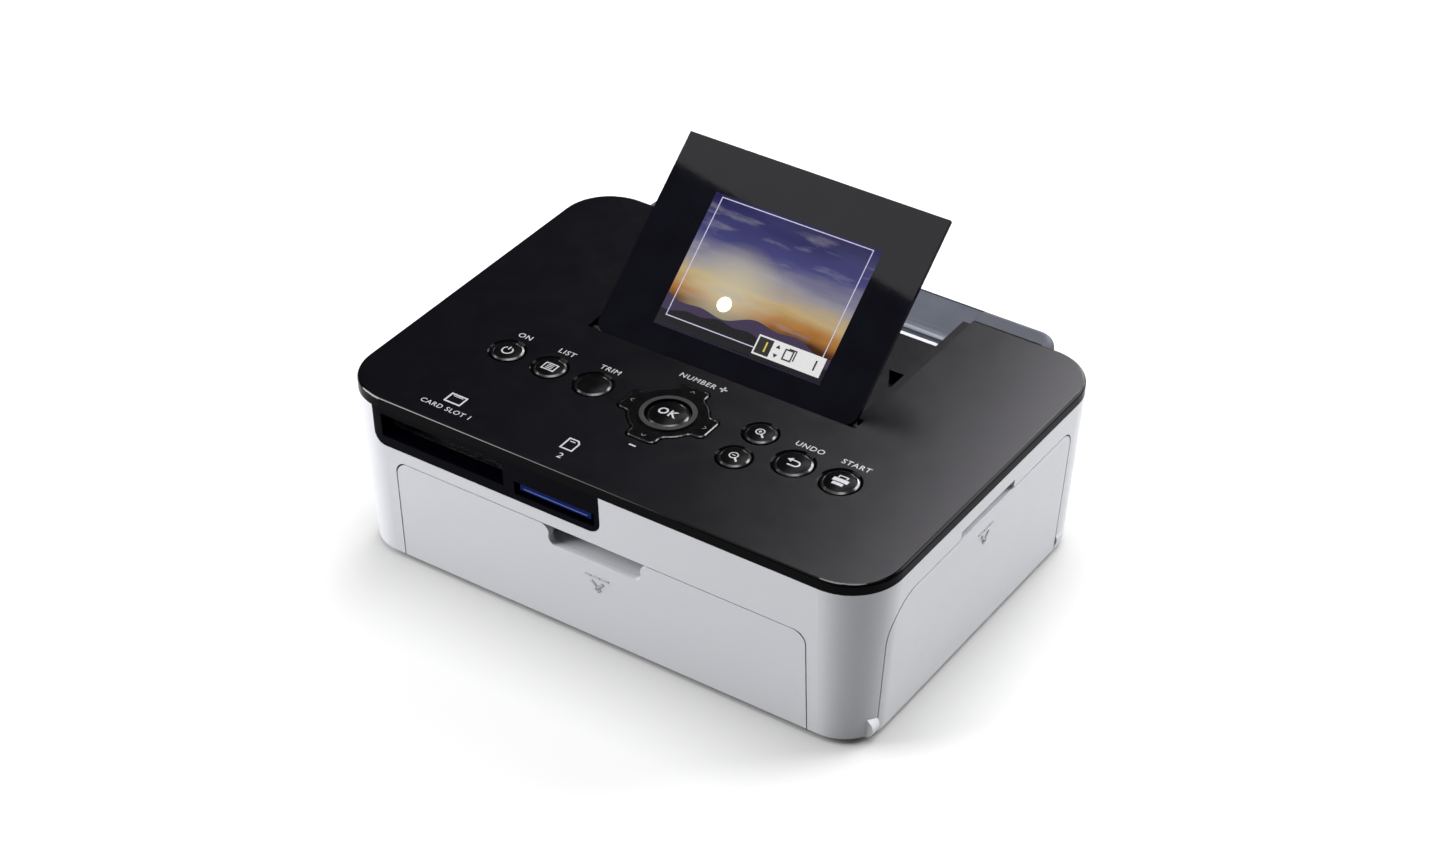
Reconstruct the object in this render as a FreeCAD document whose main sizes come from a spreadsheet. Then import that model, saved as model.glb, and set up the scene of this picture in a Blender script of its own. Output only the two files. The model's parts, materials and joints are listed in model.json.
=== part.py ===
# Compact photo printer: a tapered white case under a black cover with a tilting screen,
# a row of buttons, two drop-down doors, card slots, and the printing mechanism inside.
# Frame: X to the right, Y to the back, Z up, origin on the floor under the middle of the outline.
import FreeCAD, Part
import math
import os
import re
import Sketcher
from FreeCAD import Placement, Rotation, Vector

# Driving sizes in millimetres, angles in degrees; heights are above the floor
SIZES = {
    # case
    "paper_width": 100,
    "paper_margin": 3,
    "side_space": 36,
    "back_space": 16,
    "key_space": 10,
    "feet_height": 2,
    "rim_height": 3.4,
    "side_taper": 3.45,
    "end_taper": 2.44,
    "top_corner": 16,
    "bottom_corner": 13,
    "case_wall": 2.2,
    "base_thickness": 2.2,
    "overrun": 10,
    # clearances
    "seam_gap": 0.4,
    "moving_gap": 0.35,
    "running_gap": 0.05,
    # front door
    "front_door_inset": 20.3,
    "front_door_top": 36,
    "front_door_corner": 4,
    "notch_width": 26,
    "notch_shoulder": 5,
    "notch_depth": 6.4,
    "front_pivot_height": 5.8,
    "front_pivot_inset": 3.46,
    "hinge_pin_radius": 1,
    "hinge_pin_grip": 5,
    "hinge_pin_reach": 3.2,
    "ear_radius": 2.2,
    "ear_length": 6,
    "pocket_wall": 1.2,
    "pocket_depth": 7.5,
    # ink door
    "ink_door_front_setback": 12.2,
    "ink_door_back_setback": 18,
    "ink_door_top": 45.7,
    "ink_door_front_corner": 13,
    "ink_door_back_corner": 5,
    "ink_pivot_height": 5,
    "ink_pivot_inset": 2.55,
    "lug_radius": 3.2,
    "lug_length": 3.4,
    "scoop_front": -16,
    "scoop_back": 12.6,
    "scoop_height": 3,
    "scoop_depth": 1.6,
    # screws and feet
    "boss_radius": 3.8,
    "boss_height": 12,
    "front_boss_inset": 12.8,
    "front_boss_setback": 8.3,
    "back_boss_inset": 17.5,
    "back_boss_setback": 7.5,
    "screw_radius": 1.25,
    "screw_length": 9,
    "screw_head_radius": 2.6,
    "screw_head_height": 1.4,
    "foot_radius": 6,
    "foot_inset": 27,
    "foot_setback": 20,
    # cover
    "cover_thickness": 2.2,
    "cover_edge": 1,
    "countersink": 0.5,
    # screen well
    "well_side_gap": 0.6,
    "well_depth": 6.8,
    "well_wall": 1.5,
    "well_back_setback": 9.5,
    "ledge_side_gap": 1.6,
    "ledge_depth": 1.8,
    "sill_depth": 3,
    "sill_thickness": 1.5,
    "sill_rib": 1.4,
    "rest_width": 6.4,
    "rest_length": 6,
    "rest_height": 3,
    "rest_setback": 18,
    # screen
    "screen_tilt": 39.9,
    "screen_width": 88,
    "screen_height": 65,
    "screen_foot": 0.6,
    "screen_axis_depth": 2.7,
    "screen_axis_setback": 3.3,
    "screen_plate": 1.5,
    "screen_thickness": 5.5,
    "screen_corner": 3.5,
    "screen_lip": 8,
    "screen_side_step": 2.6,
    "screen_wall": 1.2,
    "screen_pin_radius": 1,
    "screen_pin_block": 4,
    "window_side": 15.7,
    "window_head": 14.7,
    "window_offset": 0.9,
    "window_foot": 7.9,
    "lcd_border": 2.6,
    "lcd_thickness": 2.4,
    "lcd_recess": 0.05,
    # rear hood
    "hood_inset": 18.7,
    "hood_depth": 8,
    "hood_drop": 0.2,
    "hood_bottom": 44,
    "hood_edge": 3.2,
    "hood_corner": 6,
    "hood_front_setback": 5.5,
    "hood_land": 3,
    "hood_ramp_rise": 6,
    "hood_lip": 1.9,
    # buttons
    "button_gap": 0.35,
    "button_lip": 1.2,
    "button_rise": 0.3,
    "button_crown_radius": 25,
    "button_flange": 1.1,
    "button_flange_drop": 0.4,
    "button_travel": 0.5,
    "power_share": 0.64,
    "menu_share": 0.472,
    "edit_share": 0.303,
    "pad_place": -1.2,
    "zoom_share": 0.283,
    "back_share": 0.452,
    "print_share": 0.62,
    "button_setback": 23.1,
    "zoom_row_offset": 6.6,
    "power_radius": 5.3,
    "menu_radius": 5.3,
    "edit_radius": 5.8,
    "zoom_radius": 5.1,
    "back_radius": 6,
    "print_radius": 5.9,
    # pad
    "pad_reach": 14.9,
    "pad_arm": 5.2,
    "pad_disc": 11.9,
    "pad_round": 2,
    "pad_rise": 0.2,
    "pad_flange": 0.8,
    "pad_flange_drop": 0.7,
    "pad_collar_radius": 8.7,
    "pad_collar_rise": 0.5,
    "ok_radius": 6.3,
    "ok_flange_drop": 0.5,
    "ok_flange": 0.6,
    "ok_rise": 0.6,
    "pad_ring_inner": 8.6,
    "pad_ring_outer": 10.6,
    "pad_ring_height": 0.4,
    "pad_ring_drop": 0.5,
    # key board
    "key_board_side": 9,
    "key_board_reach": 19.4,
    "key_board_gap": 4.5,
    "key_board_drop": 7.3,
    "key_board_thickness": 1.3,
    "mat_margin": 3.4,
    "mat_thickness": 0.5,
    "mat_ring_height": 0.2,
    "dome_radius": 3,
    "key_post_radius": 1.4,
    "key_post_inset": 1.8,
    # card bay
    "bezel_side": 13.2,
    "bezel_end": 1.8,
    "bezel_bottom": 40.5,
    "bezel_corner": 4,
    "bezel_depth": 6,
    "bezel_inset": 0.6,
    "large_slot_side": 3.1,
    "large_slot_width": 42.7,
    "large_slot_bottom": 44,
    "large_slot_top": 51.8,
    "large_cavity_height": 4.6,
    "large_cavity_depth": 29.4,
    "slot_divider": 3.7,
    "small_slot_side": 1.55,
    "small_slot_bottom": 42.7,
    "small_slot_top": 47.2,
    "card_width": 24,
    "card_thickness": 2.1,
    "card_length": 32,
    "card_bottom": 44.2,
    "card_front_setback": 1.2,
    "card_gap": 0.25,
    "socket_wall": 0.8,
    "main_board_side": 9,
    "main_board_overlap": 8.3,
    "main_board_bottom": 39.4,
    "main_board_gap": 13,
    "board_thickness": 1.6,
    "board_post_radius": 2.5,
    "board_post_side": 8,
    "board_post_inset": 9.5,
    # sockets on the left side
    "side_board_depth": 15.8,
    "side_board_front": -18,
    "side_board_back": 18,
    "side_board_bottom": 6.4,
    "inlet_place": -9,
    "inlet_width": 10,
    "inlet_height": 10.4,
    "inlet_length": 13,
    "inlet_bore_radius": 3.2,
    "inlet_pin_radius": 0.9,
    "inlet_bore_depth": 9,
    "usb_place": 8,
    "usb_width": 12,
    "usb_height": 11,
    "usb_length": 16,
    "usb_mouth_width": 8.6,
    "usb_mouth_height": 7.8,
    "usb_mouth_depth": 9,
    "usb_tongue_width": 5.6,
    "usb_tongue_height": 3.2,
    "port_gap": 0.3,
    # chassis
    "plate_thickness": 1.4,
    "left_plate_side": 8,
    "right_plate_side": 9,
    "chassis_front": -36,
    "chassis_back_setback": 7,
    "chassis_headroom": 13,
    "chassis_step_gap": 1,
    "ink_window_front": -20,
    "ink_window_back": 46,
    "ink_window_bottom": 23,
    "ink_window_top": 45.4,
    # paper path
    "paper_height": 22.3,
    "guide_front": -9,
    "guide_back": 43,
    "guide_thickness": 1.2,
    "guide_drop": 0.5,
    "rear_slot_height": 5.2,
    "platen_place": 13,
    "platen_radius": 6,
    "platen_shaft_radius": 2.5,
    "capstan_place": 47.5,
    "capstan_radius": 4,
    "capstan_shaft_radius": 2,
    "pinch_radius": 3,
    "pinch_shaft_radius": 1.2,
    "paper_nip": 0.35,
    "pickup_place": -30,
    "pickup_height": 31,
    "pickup_radius": 7,
    "pickup_half_width": 9,
    "pickup_shaft_radius": 2,
    "shaft_overhang": 1.2,
    # print head
    "head_place": 13,
    "head_overlap": 1.5,
    "guide_pin_inset": 6.5,
    "head_depth": 15,
    "head_bottom": 30.3,
    "head_top": 43,
    "heater_depth": 6,
    "heater_height": 1.8,
    "fin_depth": 7,
    "fin_gap": 1.6,
    "fin_pitch": 3.4,
    "guide_pin_radius": 1.2,
    "guide_pin_row": 7.2,
    "bridge_bottom": 45.2,
    "bridge_thickness": 1.2,
    "bridge_depth": 18,
    # ink cassette
    "spool_height": 34,
    "takeup_place": -8,
    "supply_place": 34,
    "tube_radius": 10.5,
    "tube_wall": 1.2,
    "cassette_margin": 4,
    "cassette_bridge": 4.2,
    "cassette_bridge_bottom": 23.7,
    "cassette_bridge_top": 28,
    "grip_length": 9,
    "grip_width": 14,
    "grip_thickness": 3,
    "spool_radius": 3.4,
    "spool_journal": 2.2,
    "takeup_film_radius": 6,
    "supply_film_radius": 8.4,
    "film_thickness": 0.2,
    "film_height": 22.9,
    "film_run": 9,
    "film_slot": 4,
    # gears
    "tooth_length": 1,
    "capstan_teeth": 14,
    "pinion_teeth": 10,
    "rear_idler_teeth": 18,
    "platen_teeth": 21,
    "front_idler_teeth": 9,
    "takeup_teeth": 18,
    "gear_width": 4.5,
    "gear_plate_gap": 0.8,
    "gear_backlash": 0.22,
    "idler_axle_radius": 1.5,
    "idler_head_radius": 2.4,
    "idler_head_height": 0.7,
    "drive_shaft_radius": 2,
    # feed motor
    "motor_radius": 8,
    "motor_length": 12,
    "motor_shaft_radius": 1,
    "motor_bracket_thickness": 1,
    "motor_bracket_foot": 9,
    "motor_bracket_foot_width": 8,
    "motor_bracket_front": 9.5,
    "motor_bracket_back": 5.5,
    "motor_boss_radius": 3,
}

# Places worked out from the sizes, in the order in which they build on each other
PLACES = {
    "paper_half_width": "paper_width / 2 + paper_margin",
    "half_width": "paper_half_width + side_space",
    "half_depth": "capstan_place + back_space",
    "chassis_top": "spool_height + chassis_headroom",
    "cover_height": "chassis_top + key_space",
    "rim_bottom": "cover_height - rim_height",
    "cover_underside": "cover_height - cover_thickness",
    "foot_half_width": "half_width - side_taper",
    "foot_half_depth": "half_depth - end_taper",
    "floor_top": "feet_height + base_thickness",
    "front_door_half": "half_width - front_door_inset",
    "front_boss_offset": "half_width - front_boss_inset",
    "back_boss_offset": "half_width - back_boss_inset",
    "foot_offset": "half_width - foot_inset",
    "front_pivot": "0 - foot_half_depth + front_pivot_inset",
    "front_sweep": "sqrt(front_pivot_inset^2 + (front_pivot_height - feet_height)^2) + moving_gap",
    "ink_door_front": "ink_door_front_setback - half_depth",
    "ink_door_back": "half_depth - ink_door_back_setback",
    "ink_pivot": "foot_half_width - ink_pivot_inset",
    "ink_sweep": "sqrt(ink_pivot_inset^2 + (ink_pivot_height - feet_height)^2) + moving_gap",
    "screen_half": "screen_width / 2",
    "shell_half": "screen_half - screen_side_step",
    "well_half": "shell_half + well_side_gap",
    "well_floor": "cover_height - well_depth",
    "well_front": "half_depth - screen_height",
    "well_back": "half_depth - well_back_setback",
    "rest_place": "well_back - rest_setback",
    "screen_axis_place": "well_front + screen_axis_setback",
    "ledge_half": "screen_half + ledge_side_gap",
    "sill_half": "well_half - seam_gap",
    "sill_top": "well_floor - sill_depth",
    "hinge_relief_back": "screen_axis_place + screen_axis_depth + screen_foot + moving_gap",
    "screen_axis_height": "cover_height - screen_axis_depth",
    "screen_face": "screen_axis_depth",
    "screen_under": "screen_axis_depth - screen_plate",
    "screen_rear": "screen_axis_depth - screen_thickness",
    "screen_top_edge": "screen_height - screen_foot",
    "shell_top_edge": "screen_top_edge - screen_lip",
    "window_low": "window_foot - screen_foot",
    "window_high": "screen_top_edge - window_head",
    "window_left": "window_offset + window_side - screen_half",
    "window_right": "window_offset - window_side + screen_half",
    "hood_half": "half_width - hood_inset",
    "hood_back": "half_depth + hood_depth",
    "hood_height": "cover_height - hood_drop",
    "hood_front": "half_depth - hood_front_setback",
    "power_place": "0 - half_width * power_share",
    "menu_place": "0 - half_width * menu_share",
    "edit_place": "0 - half_width * edit_share",
    "zoom_place": "half_width * zoom_share",
    "back_place": "half_width * back_share",
    "print_place": "half_width * print_share",
    "button_row": "well_front - button_setback",
    "zoom_in_row": "button_row + zoom_row_offset",
    "zoom_out_row": "button_row - zoom_row_offset",
    "key_board_bottom": "cover_height - key_board_drop",
    "board_top": "key_board_bottom + key_board_thickness",
    "mat_top": "board_top + mat_thickness",
    "flange_top": "cover_underside - button_flange_drop",
    "flange_bottom": "flange_top - button_flange",
    "dome_top": "flange_bottom - button_travel - moving_gap",
    "pad_flange_top": "cover_underside - pad_flange_drop",
    "pad_under": "pad_flange_top - pad_flange",
    "ok_flange_top": "pad_under - ok_flange_drop",
    "ok_flange_bottom": "ok_flange_top - ok_flange",
    "pad_ring_top": "pad_under - pad_ring_drop",
    "pad_ring_bottom": "pad_ring_top - pad_ring_height",
    "key_board_left": "power_place - key_board_side",
    "key_board_right": "print_place + key_board_side",
    "key_board_front": "button_row - key_board_reach",
    "key_board_back": "well_front - key_board_gap",
    "bezel_back": "bezel_depth - half_depth",
    "main_board_top": "main_board_bottom + board_thickness",
    "main_board_back": "takeup_place - main_board_gap",
    "main_board_left": "main_board_side - half_width",
    "board_post_place": "main_board_left + board_post_side",
    "bezel_left": "bezel_side - half_width",
    "large_slot_left": "bezel_left + large_slot_side",
    "large_slot_right": "large_slot_left + large_slot_width",
    "small_slot_left": "large_slot_right + slot_divider",
    "small_slot_right": "small_slot_left + card_width + 2 * small_slot_side",
    "bezel_right": "small_slot_right + bezel_end",
    "main_board_right": "small_slot_left + main_board_overlap",
    "card_middle": "(small_slot_left + small_slot_right) / 2",
    "card_front": "card_front_setback - half_depth",
    "card_back": "card_front + card_length",
    "card_top": "card_bottom + card_thickness",
    "side_board_top": "side_board_bottom + board_thickness",
    "port_face": "0 - foot_half_width - side_taper / 4",
    "inlet_axis_height": "side_board_top + inlet_height / 2",
    "usb_axis_height": "side_board_top + usb_height / 2",
    "left_plate": "0 - paper_half_width - left_plate_side",
    "right_plate": "paper_half_width + right_plate_side",
    "chassis_step": "main_board_back + chassis_step_gap",
    "chassis_back": "half_depth - chassis_back_setback",
    "capstan_half_length": "paper_width / 2",
    "head_half_length": "paper_width / 2 + head_overlap",
    "guide_pin_place": "head_half_length - guide_pin_inset",
    "cassette_half_length": "paper_half_width + cassette_margin",
    "left_plate_inner": "left_plate + plate_thickness",
    "right_plate_outer": "right_plate + plate_thickness",
    "platen_height": "paper_height - platen_radius",
    "capstan_height": "paper_height - capstan_radius",
    "pinch_height": "paper_height + paper_nip + pinch_radius",
    "guide_top": "paper_height - guide_drop",
    "head_front": "head_place - head_depth / 2",
    "head_back": "head_place + head_depth / 2",
    "gear_right": "left_plate - gear_plate_gap",
    "gear_left": "gear_right - gear_width",
    "bracket_right": "gear_left - gear_plate_gap",
    "bracket_left": "bracket_right - motor_bracket_thickness",
    "pinion_height": "capstan_height + tooth_length * (capstan_teeth + pinion_teeth) / 2",
}

doc = FreeCAD.newDocument("photo_printer")


def add_sheet(name, cells):
    """Spreadsheet with one named value or formula in each row"""
    sheet = doc.addObject("Spreadsheet::Sheet", name)
    for row, (alias, content) in enumerate(cells.items(), start=1):
        sheet.set(f"A{row}", alias)
        sheet.set(f"B{row}", content)
        sheet.setAlias(f"B{row}", alias)
    return sheet


def bound(text):
    """Expression text with each name pointed at its sheet"""
    def owner(match):
        word = match.group()
        if word in SIZES:
            return f"Sizes.{word}"
        return f"Places.{word}" if word in PLACES else word
    return re.sub(r"[a-z_]+", owner, text)


sizes_sheet = add_sheet("Sizes", {name: str(value) for name, value in SIZES.items()})
places_sheet = add_sheet("Places", {name: "=" + re.sub(
    r"[a-z_]+", lambda match: f"Sizes.{match.group()}" if match.group() in SIZES else match.group(), formula)
    for name, formula in PLACES.items()})
doc.recompute()


def at(name):
    """Present value of a size or a place"""
    return sizes_sheet.get(name) if name in SIZES else places_sheet.get(name)


PIECES = []


def group(*parts):
    """Separate solids that count as one piece"""
    compound = doc.addObject("Part::Compound", "Group")
    compound.Links = list(parts)
    return compound


def piece(label, *forms):
    """Name a finished piece and place it; the hood puts the case's middle ahead of the origin"""
    placed = group(*forms)
    placed.Label = label
    placed.setExpression("Placement.Base.y", bound("0 - hood_depth / 2"))
    PIECES.append(placed)
    return placed


def block(x, y, z):
    """Box between a low and a high place on each axis"""
    box = doc.addObject("Part::Box", "Block")
    for side, axis, (low, high) in zip(("Length", "Width", "Height"), "xyz", (x, y, z)):
        box.setExpression(side, bound(f"({high}) - ({low})"))
        box.setExpression(f"Placement.Base.{axis}", bound(low))
    return box


TURNS = {"x": Rotation(Vector(0, 1, 0), 90), "y": Rotation(Vector(1, 0, 0), -90), "z": Rotation()}
CROSS_AXES = {"x": "yz", "y": "xz", "z": "xy"}


def rod(axis, centre, span, radius, far_radius=None):
    """Cylinder along an axis, or a cone where the far end has its own radius"""
    round_bar = doc.addObject("Part::Cone" if far_radius else "Part::Cylinder", "Rod")
    if far_radius:
        round_bar.setExpression("Radius1", bound(radius))
        round_bar.setExpression("Radius2", bound(far_radius))
    else:
        round_bar.setExpression("Radius", bound(radius))
    round_bar.setExpression("Height", bound(f"({span[1]}) - ({span[0]})"))
    round_bar.Placement = Placement(Vector(), TURNS[axis])
    round_bar.setExpression(f"Placement.Base.{axis}", bound(span[0]))
    for cross_axis, place in zip(CROSS_AXES[axis], centre):
        round_bar.setExpression(f"Placement.Base.{cross_axis}", bound(place))
    return round_bar


def join(*parts):
    """Several overlapping or touching forms as one solid"""
    union = doc.addObject("Part::MultiFuse", "Join")
    union.Shapes = list(parts)
    union.Refine = True
    return union


def cut(base, *tools):
    """A form with others taken away"""
    remainder = doc.addObject("Part::Cut", "Cut")
    remainder.Base = base
    remainder.Tool = tools[0] if len(tools) == 1 else join(*tools)
    remainder.Refine = True
    return remainder


def shared(*parts):
    """The space that several forms share"""
    common = doc.addObject("Part::MultiCommon", "Shared")
    common.Shapes = list(parts)
    common.Refine = True
    return common


def soften(base, radius_name, wanted):
    """Round the edges that the test picks out"""
    doc.recompute()
    rounded = doc.addObject("Part::Fillet", "Rounded")
    rounded.Base = base
    radius = at(radius_name)
    edges = base.Shape.Edges
    rounded.Edges = [(i, radius, radius) for i, edge in enumerate(edges, start=1) if wanted(edge)]
    return rounded


def is_along(edge, axis):
    """True for a straight edge along an axis"""
    if not isinstance(edge.Curve, Part.Line):
        return False
    return abs(abs(edge.Curve.Direction.dot(axis)) - 1) < ALIKE


ALIKE = 1e-6
X_AXIS = Vector(1, 0, 0)
Y_AXIS = Vector(0, 1, 0)
Z_AXIS = Vector(0, 0, 1)


def plan(x, y, radius, height):
    """Sketch of a rectangle with round corners, level at a height"""
    sketch = doc.addObject("Sketcher::SketchObject", "Plan")
    sketch.setExpression("Placement.Base.z", bound(height))
    draw_rounded(sketch, x, y, radius)
    return sketch


def draw_rounded(sketch, u, v, radius):
    """Rectangle with round corners from a low to a high place on both sketch axes"""
    guess = {"u": (0, 10), "v": (0, 8)}
    (left, right), (low, high), bend = guess["u"], guess["v"], 1
    lines = [((left + bend, low), (right - bend, low)), ((right, low + bend), (right, high - bend)),
             ((right - bend, high), (left + bend, high)), ((left, high - bend), (left, low + bend))]
    for start, end in lines:
        sketch.addGeometry(Part.LineSegment(Vector(*start, 0), Vector(*end, 0)), False)
    centres = [(right - bend, low + bend, -90), (right - bend, high - bend, 0),
               (left + bend, high - bend, 90), (left + bend, low + bend, 180)]
    for centre_u, centre_v, start in centres:
        circle = Part.Circle(Vector(centre_u, centre_v, 0), Z_AXIS, bend)
        sketch.addGeometry(Part.ArcOfCircle(circle, math.radians(start), math.radians(start + 90)), False)
    for corner in range(4):
        sketch.addConstraint(Sketcher.Constraint("Tangent", corner, 2, 4 + corner, 1))
        sketch.addConstraint(Sketcher.Constraint("Tangent", 4 + corner, 2, (corner + 1) % 4, 1))
    for line in (0, 2):
        sketch.addConstraint(Sketcher.Constraint("Horizontal", line))
    for line in (1, 3):
        sketch.addConstraint(Sketcher.Constraint("Vertical", line))
    for arc in (5, 6, 7):
        sketch.addConstraint(Sketcher.Constraint("Equal", 4, arc))
    measures = [("Radius", (4,), radius, bend),
                ("DistanceX", (-1, 1, 3, 1), u[0], left), ("DistanceX", (-1, 1, 1, 1), u[1], right),
                ("DistanceY", (-1, 1, 0, 1), v[0], low), ("DistanceY", (-1, 1, 2, 1), v[1], high)]
    for kind, where, text, value in measures:
        index = sketch.addConstraint(Sketcher.Constraint(kind, *where, value))
        sketch.setExpression(f"Constraints[{index}]", bound(text))


def draw_polygon(sketch, points):
    """Closed outline of straight sides through points given as pairs of places"""
    count = len(points)
    doc.recompute()
    turn = [(math.cos(i), math.sin(i)) for i in (2 * math.pi * n / count for n in range(count))]
    for i in range(count):
        start, end = turn[i], turn[(i + 1) % count]
        sketch.addGeometry(Part.LineSegment(Vector(*start, 0), Vector(*end, 0)), False)
    for i in range(count):
        sketch.addConstraint(Sketcher.Constraint("Coincident", i, 2, (i + 1) % count, 1))
    for i, (across, up) in enumerate(points):
        for kind, text, value in (("DistanceX", across, turn[i][0]), ("DistanceY", up, turn[i][1])):
            index = sketch.addConstraint(Sketcher.Constraint(kind, -1, 1, i, 1, value))
            sketch.setExpression(f"Constraints[{index}]", bound(text))


def extrusion(sketch, direction, low, high):
    """Solid between two places along a direction, from a sketch that lies at zero"""
    prism = doc.addObject("Part::Extrusion", "Prism")
    prism.Base = sketch
    prism.DirMode = "Custom"
    prism.Dir = direction
    prism.Solid = True
    prism.setExpression("LengthFwd", bound(high))
    prism.setExpression("LengthRev", bound(f"0 - ({low})"))
    return prism


UPRIGHT = {"x": Rotation(Vector(1, 1, 1), 120), "y": Rotation(Vector(1, 0, 0), 90)}


def rounded_block(x, y, z, radius, axis="z"):
    """Box with its four edges along one axis rounded"""
    spans = {"x": x, "y": y, "z": z}
    sketch = doc.addObject("Sketcher::SketchObject", "Section")
    if axis != "z":
        sketch.Placement = Placement(Vector(), UPRIGHT[axis])
    first, second = CROSS_AXES[axis]
    draw_rounded(sketch, spans[first], spans[second], radius)
    return extrusion(sketch, {"x": X_AXIS, "y": Y_AXIS, "z": Z_AXIS}[axis], *spans[axis])


def body_on(label, plane, draw):
    """PartDesign body with one sketch on an origin plane"""
    body = doc.addObject("PartDesign::Body", "Body")
    sketch = body.newObject("Sketcher::SketchObject", f"{label}_outline")
    origin_plane = next(item for item in body.Origin.OriginFeatures if item.Role == plane)
    sketch.AttachmentSupport = (origin_plane, [""])
    sketch.MapMode = "FlatFace"
    draw(sketch)
    return body, sketch


def plate_body(label, x, y, z, radius):
    """PartDesign plate with round corners between two heights"""
    body, sketch = body_on(label, "XY_Plane", lambda outline: draw_rounded(outline, x, y, radius))
    sketch.setExpression("AttachmentOffset.Base.z", bound(z[0]))
    pad = body.newObject("PartDesign::Pad", f"{label}_pad")
    pad.Profile = sketch
    pad.setExpression("Length", bound(f"({z[1]}) - ({z[0]})"))
    doc.recompute()
    return body


def mirrored(low, high, sign):
    """A span of places on the right, or its mirror image on the left"""
    return (low, high) if sign > 0 else (f"0 - ({high})", f"0 - ({low})")


def signed(text, sign):
    """A place on the right, or its mirror image on the left"""
    return text if sign > 0 else f"0 - ({text})"


def wide(half):
    """Span the same way to both sides of the middle"""
    return (f"0 - ({half})", half)


# Case shell, base tray, doors and card bezel start from two tapered forms
def tapered(inset):
    """Solid that narrows to the floor, set in from the outer faces"""
    lower = plan(wide(f"foot_half_width - {inset}"), wide(f"foot_half_depth - {inset}"),
                 f"bottom_corner - {inset}", "feet_height")
    upper = plan(wide(f"half_width - {inset}"), wide(f"half_depth - {inset}"),
                 f"top_corner - {inset}", "rim_bottom")
    loft = doc.addObject("Part::Loft", "Tapered")
    loft.Sections = [lower, upper]
    loft.Solid = True
    loft.Ruled = True
    return loft


outer_form = tapered("0")
inner_form = tapered("case_wall")
wall_ring = cut(outer_form, inner_form)


def notch_prism():
    """Finger notch with S-shaped shoulders in the front door's top edge"""
    bottom, shoulder = at("notch_width") / 2, at("notch_shoulder")
    top, low = at("front_door_top"), at("front_door_top") - at("notch_depth")
    high = top + at("overrun")
    outer = bottom + shoulder
    middle_x, middle_z = bottom + shoulder / 2, (top + low) / 2
    bend = (shoulder ** 2 + at("notch_depth") ** 2) / (4 * at("notch_depth"))
    turn = math.asin(shoulder / 2 / bend)
    sag_x, sag_z = bend * math.sin(turn / 2), bend * (1 - math.cos(turn / 2))
    right = [(bottom, low), (bottom + sag_x, low + sag_z), (middle_x, middle_z),
             (outer - sag_x, top - sag_z), (outer, top)]
    points = {"right": right, "left": [(-x, z) for x, z in reversed(right)]}
    edges = []
    for side in ("right", "left"):
        row = [Vector(x, 0, z) for x, z in points[side]]
        edges += [Part.Arc(row[0], row[1], row[2]).toShape(), Part.Arc(row[2], row[3], row[4]).toShape()]
        if side == "right":
            corners = [row[4], Vector(outer, 0, high), Vector(-outer, 0, high), Vector(-outer, 0, top)]
            edges += [Part.makeLine(a, b) for a, b in zip(corners, corners[1:])]
        else:
            edges.append(Part.makeLine(row[4], Vector(bottom, 0, low)))
    face = Part.Face(Part.Wire(edges))
    depth = 2 * at("half_depth")
    solid = face.extrude(Vector(0, depth, 0))
    solid.translate(Vector(0, -depth, 0))
    notch = doc.addObject("Part::Feature", "Notch")
    notch.Shape = solid
    return notch


def front_door_form(margin):
    """Outline of the front door through the front wall, open at the floor"""
    return rounded_block(wide(f"front_door_half + {margin}"), ("0 - half_depth - overrun", "front_pivot"),
                         ("0 - overrun", f"front_door_top + {margin}"), "front_door_corner", "y")


def make_front_door():
    """Front door skin with a pin ear at each end"""
    skin = cut(shared(wall_ring, front_door_form("0")), notch_prism())
    ears = []
    for sign in (1, -1):
        ear = rod("x", ("front_pivot", "front_pivot_height"),
                  mirrored("front_door_half - ear_length", "front_door_half", sign), "ear_radius")
        bore = rod("x", ("front_pivot", "front_pivot_height"),
                   mirrored("front_door_half - hinge_pin_grip", "front_door_half + overrun", sign),
                   "hinge_pin_radius")
        web = block(mirrored("front_door_half - ear_length", "front_door_half", sign),
                    ("front_pivot - case_wall", "front_pivot"),
                    ("front_pivot_height - ear_radius / 2", "front_pivot_height + ear_radius / 2"))
        ears.append((join(ear, shared(web, inner_form)), bore))
    door = join(skin, *(ear for ear, bore in ears))
    piece("front_door", cut(door, *(bore for ear, bore in ears)))
    pins = [rod("x", ("front_pivot", "front_pivot_height"),
                mirrored("front_door_half - hinge_pin_grip", "front_door_half + hinge_pin_reach", sign),
                "hinge_pin_radius") for sign in (1, -1)]
    piece("front_door_pins", *pins)


def ink_door_form(margin):
    """Outline of the ink door through the right wall, with a wide front corner"""
    reach = ("ink_pivot - overrun", "half_width + overrun")
    front = rounded_block(reach, (f"ink_door_front - {margin}", f"ink_door_back + {margin} - 2 * overrun"),
                          ("0 - 2 * overrun", f"ink_door_top + {margin}"), "ink_door_front_corner", "x")
    back = rounded_block(reach, ("ink_door_front + 2 * overrun", f"ink_door_back + {margin}"),
                         ("0 - 2 * overrun", f"ink_door_top + {margin}"), "ink_door_back_corner", "x")
    return join(front, back)


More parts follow.
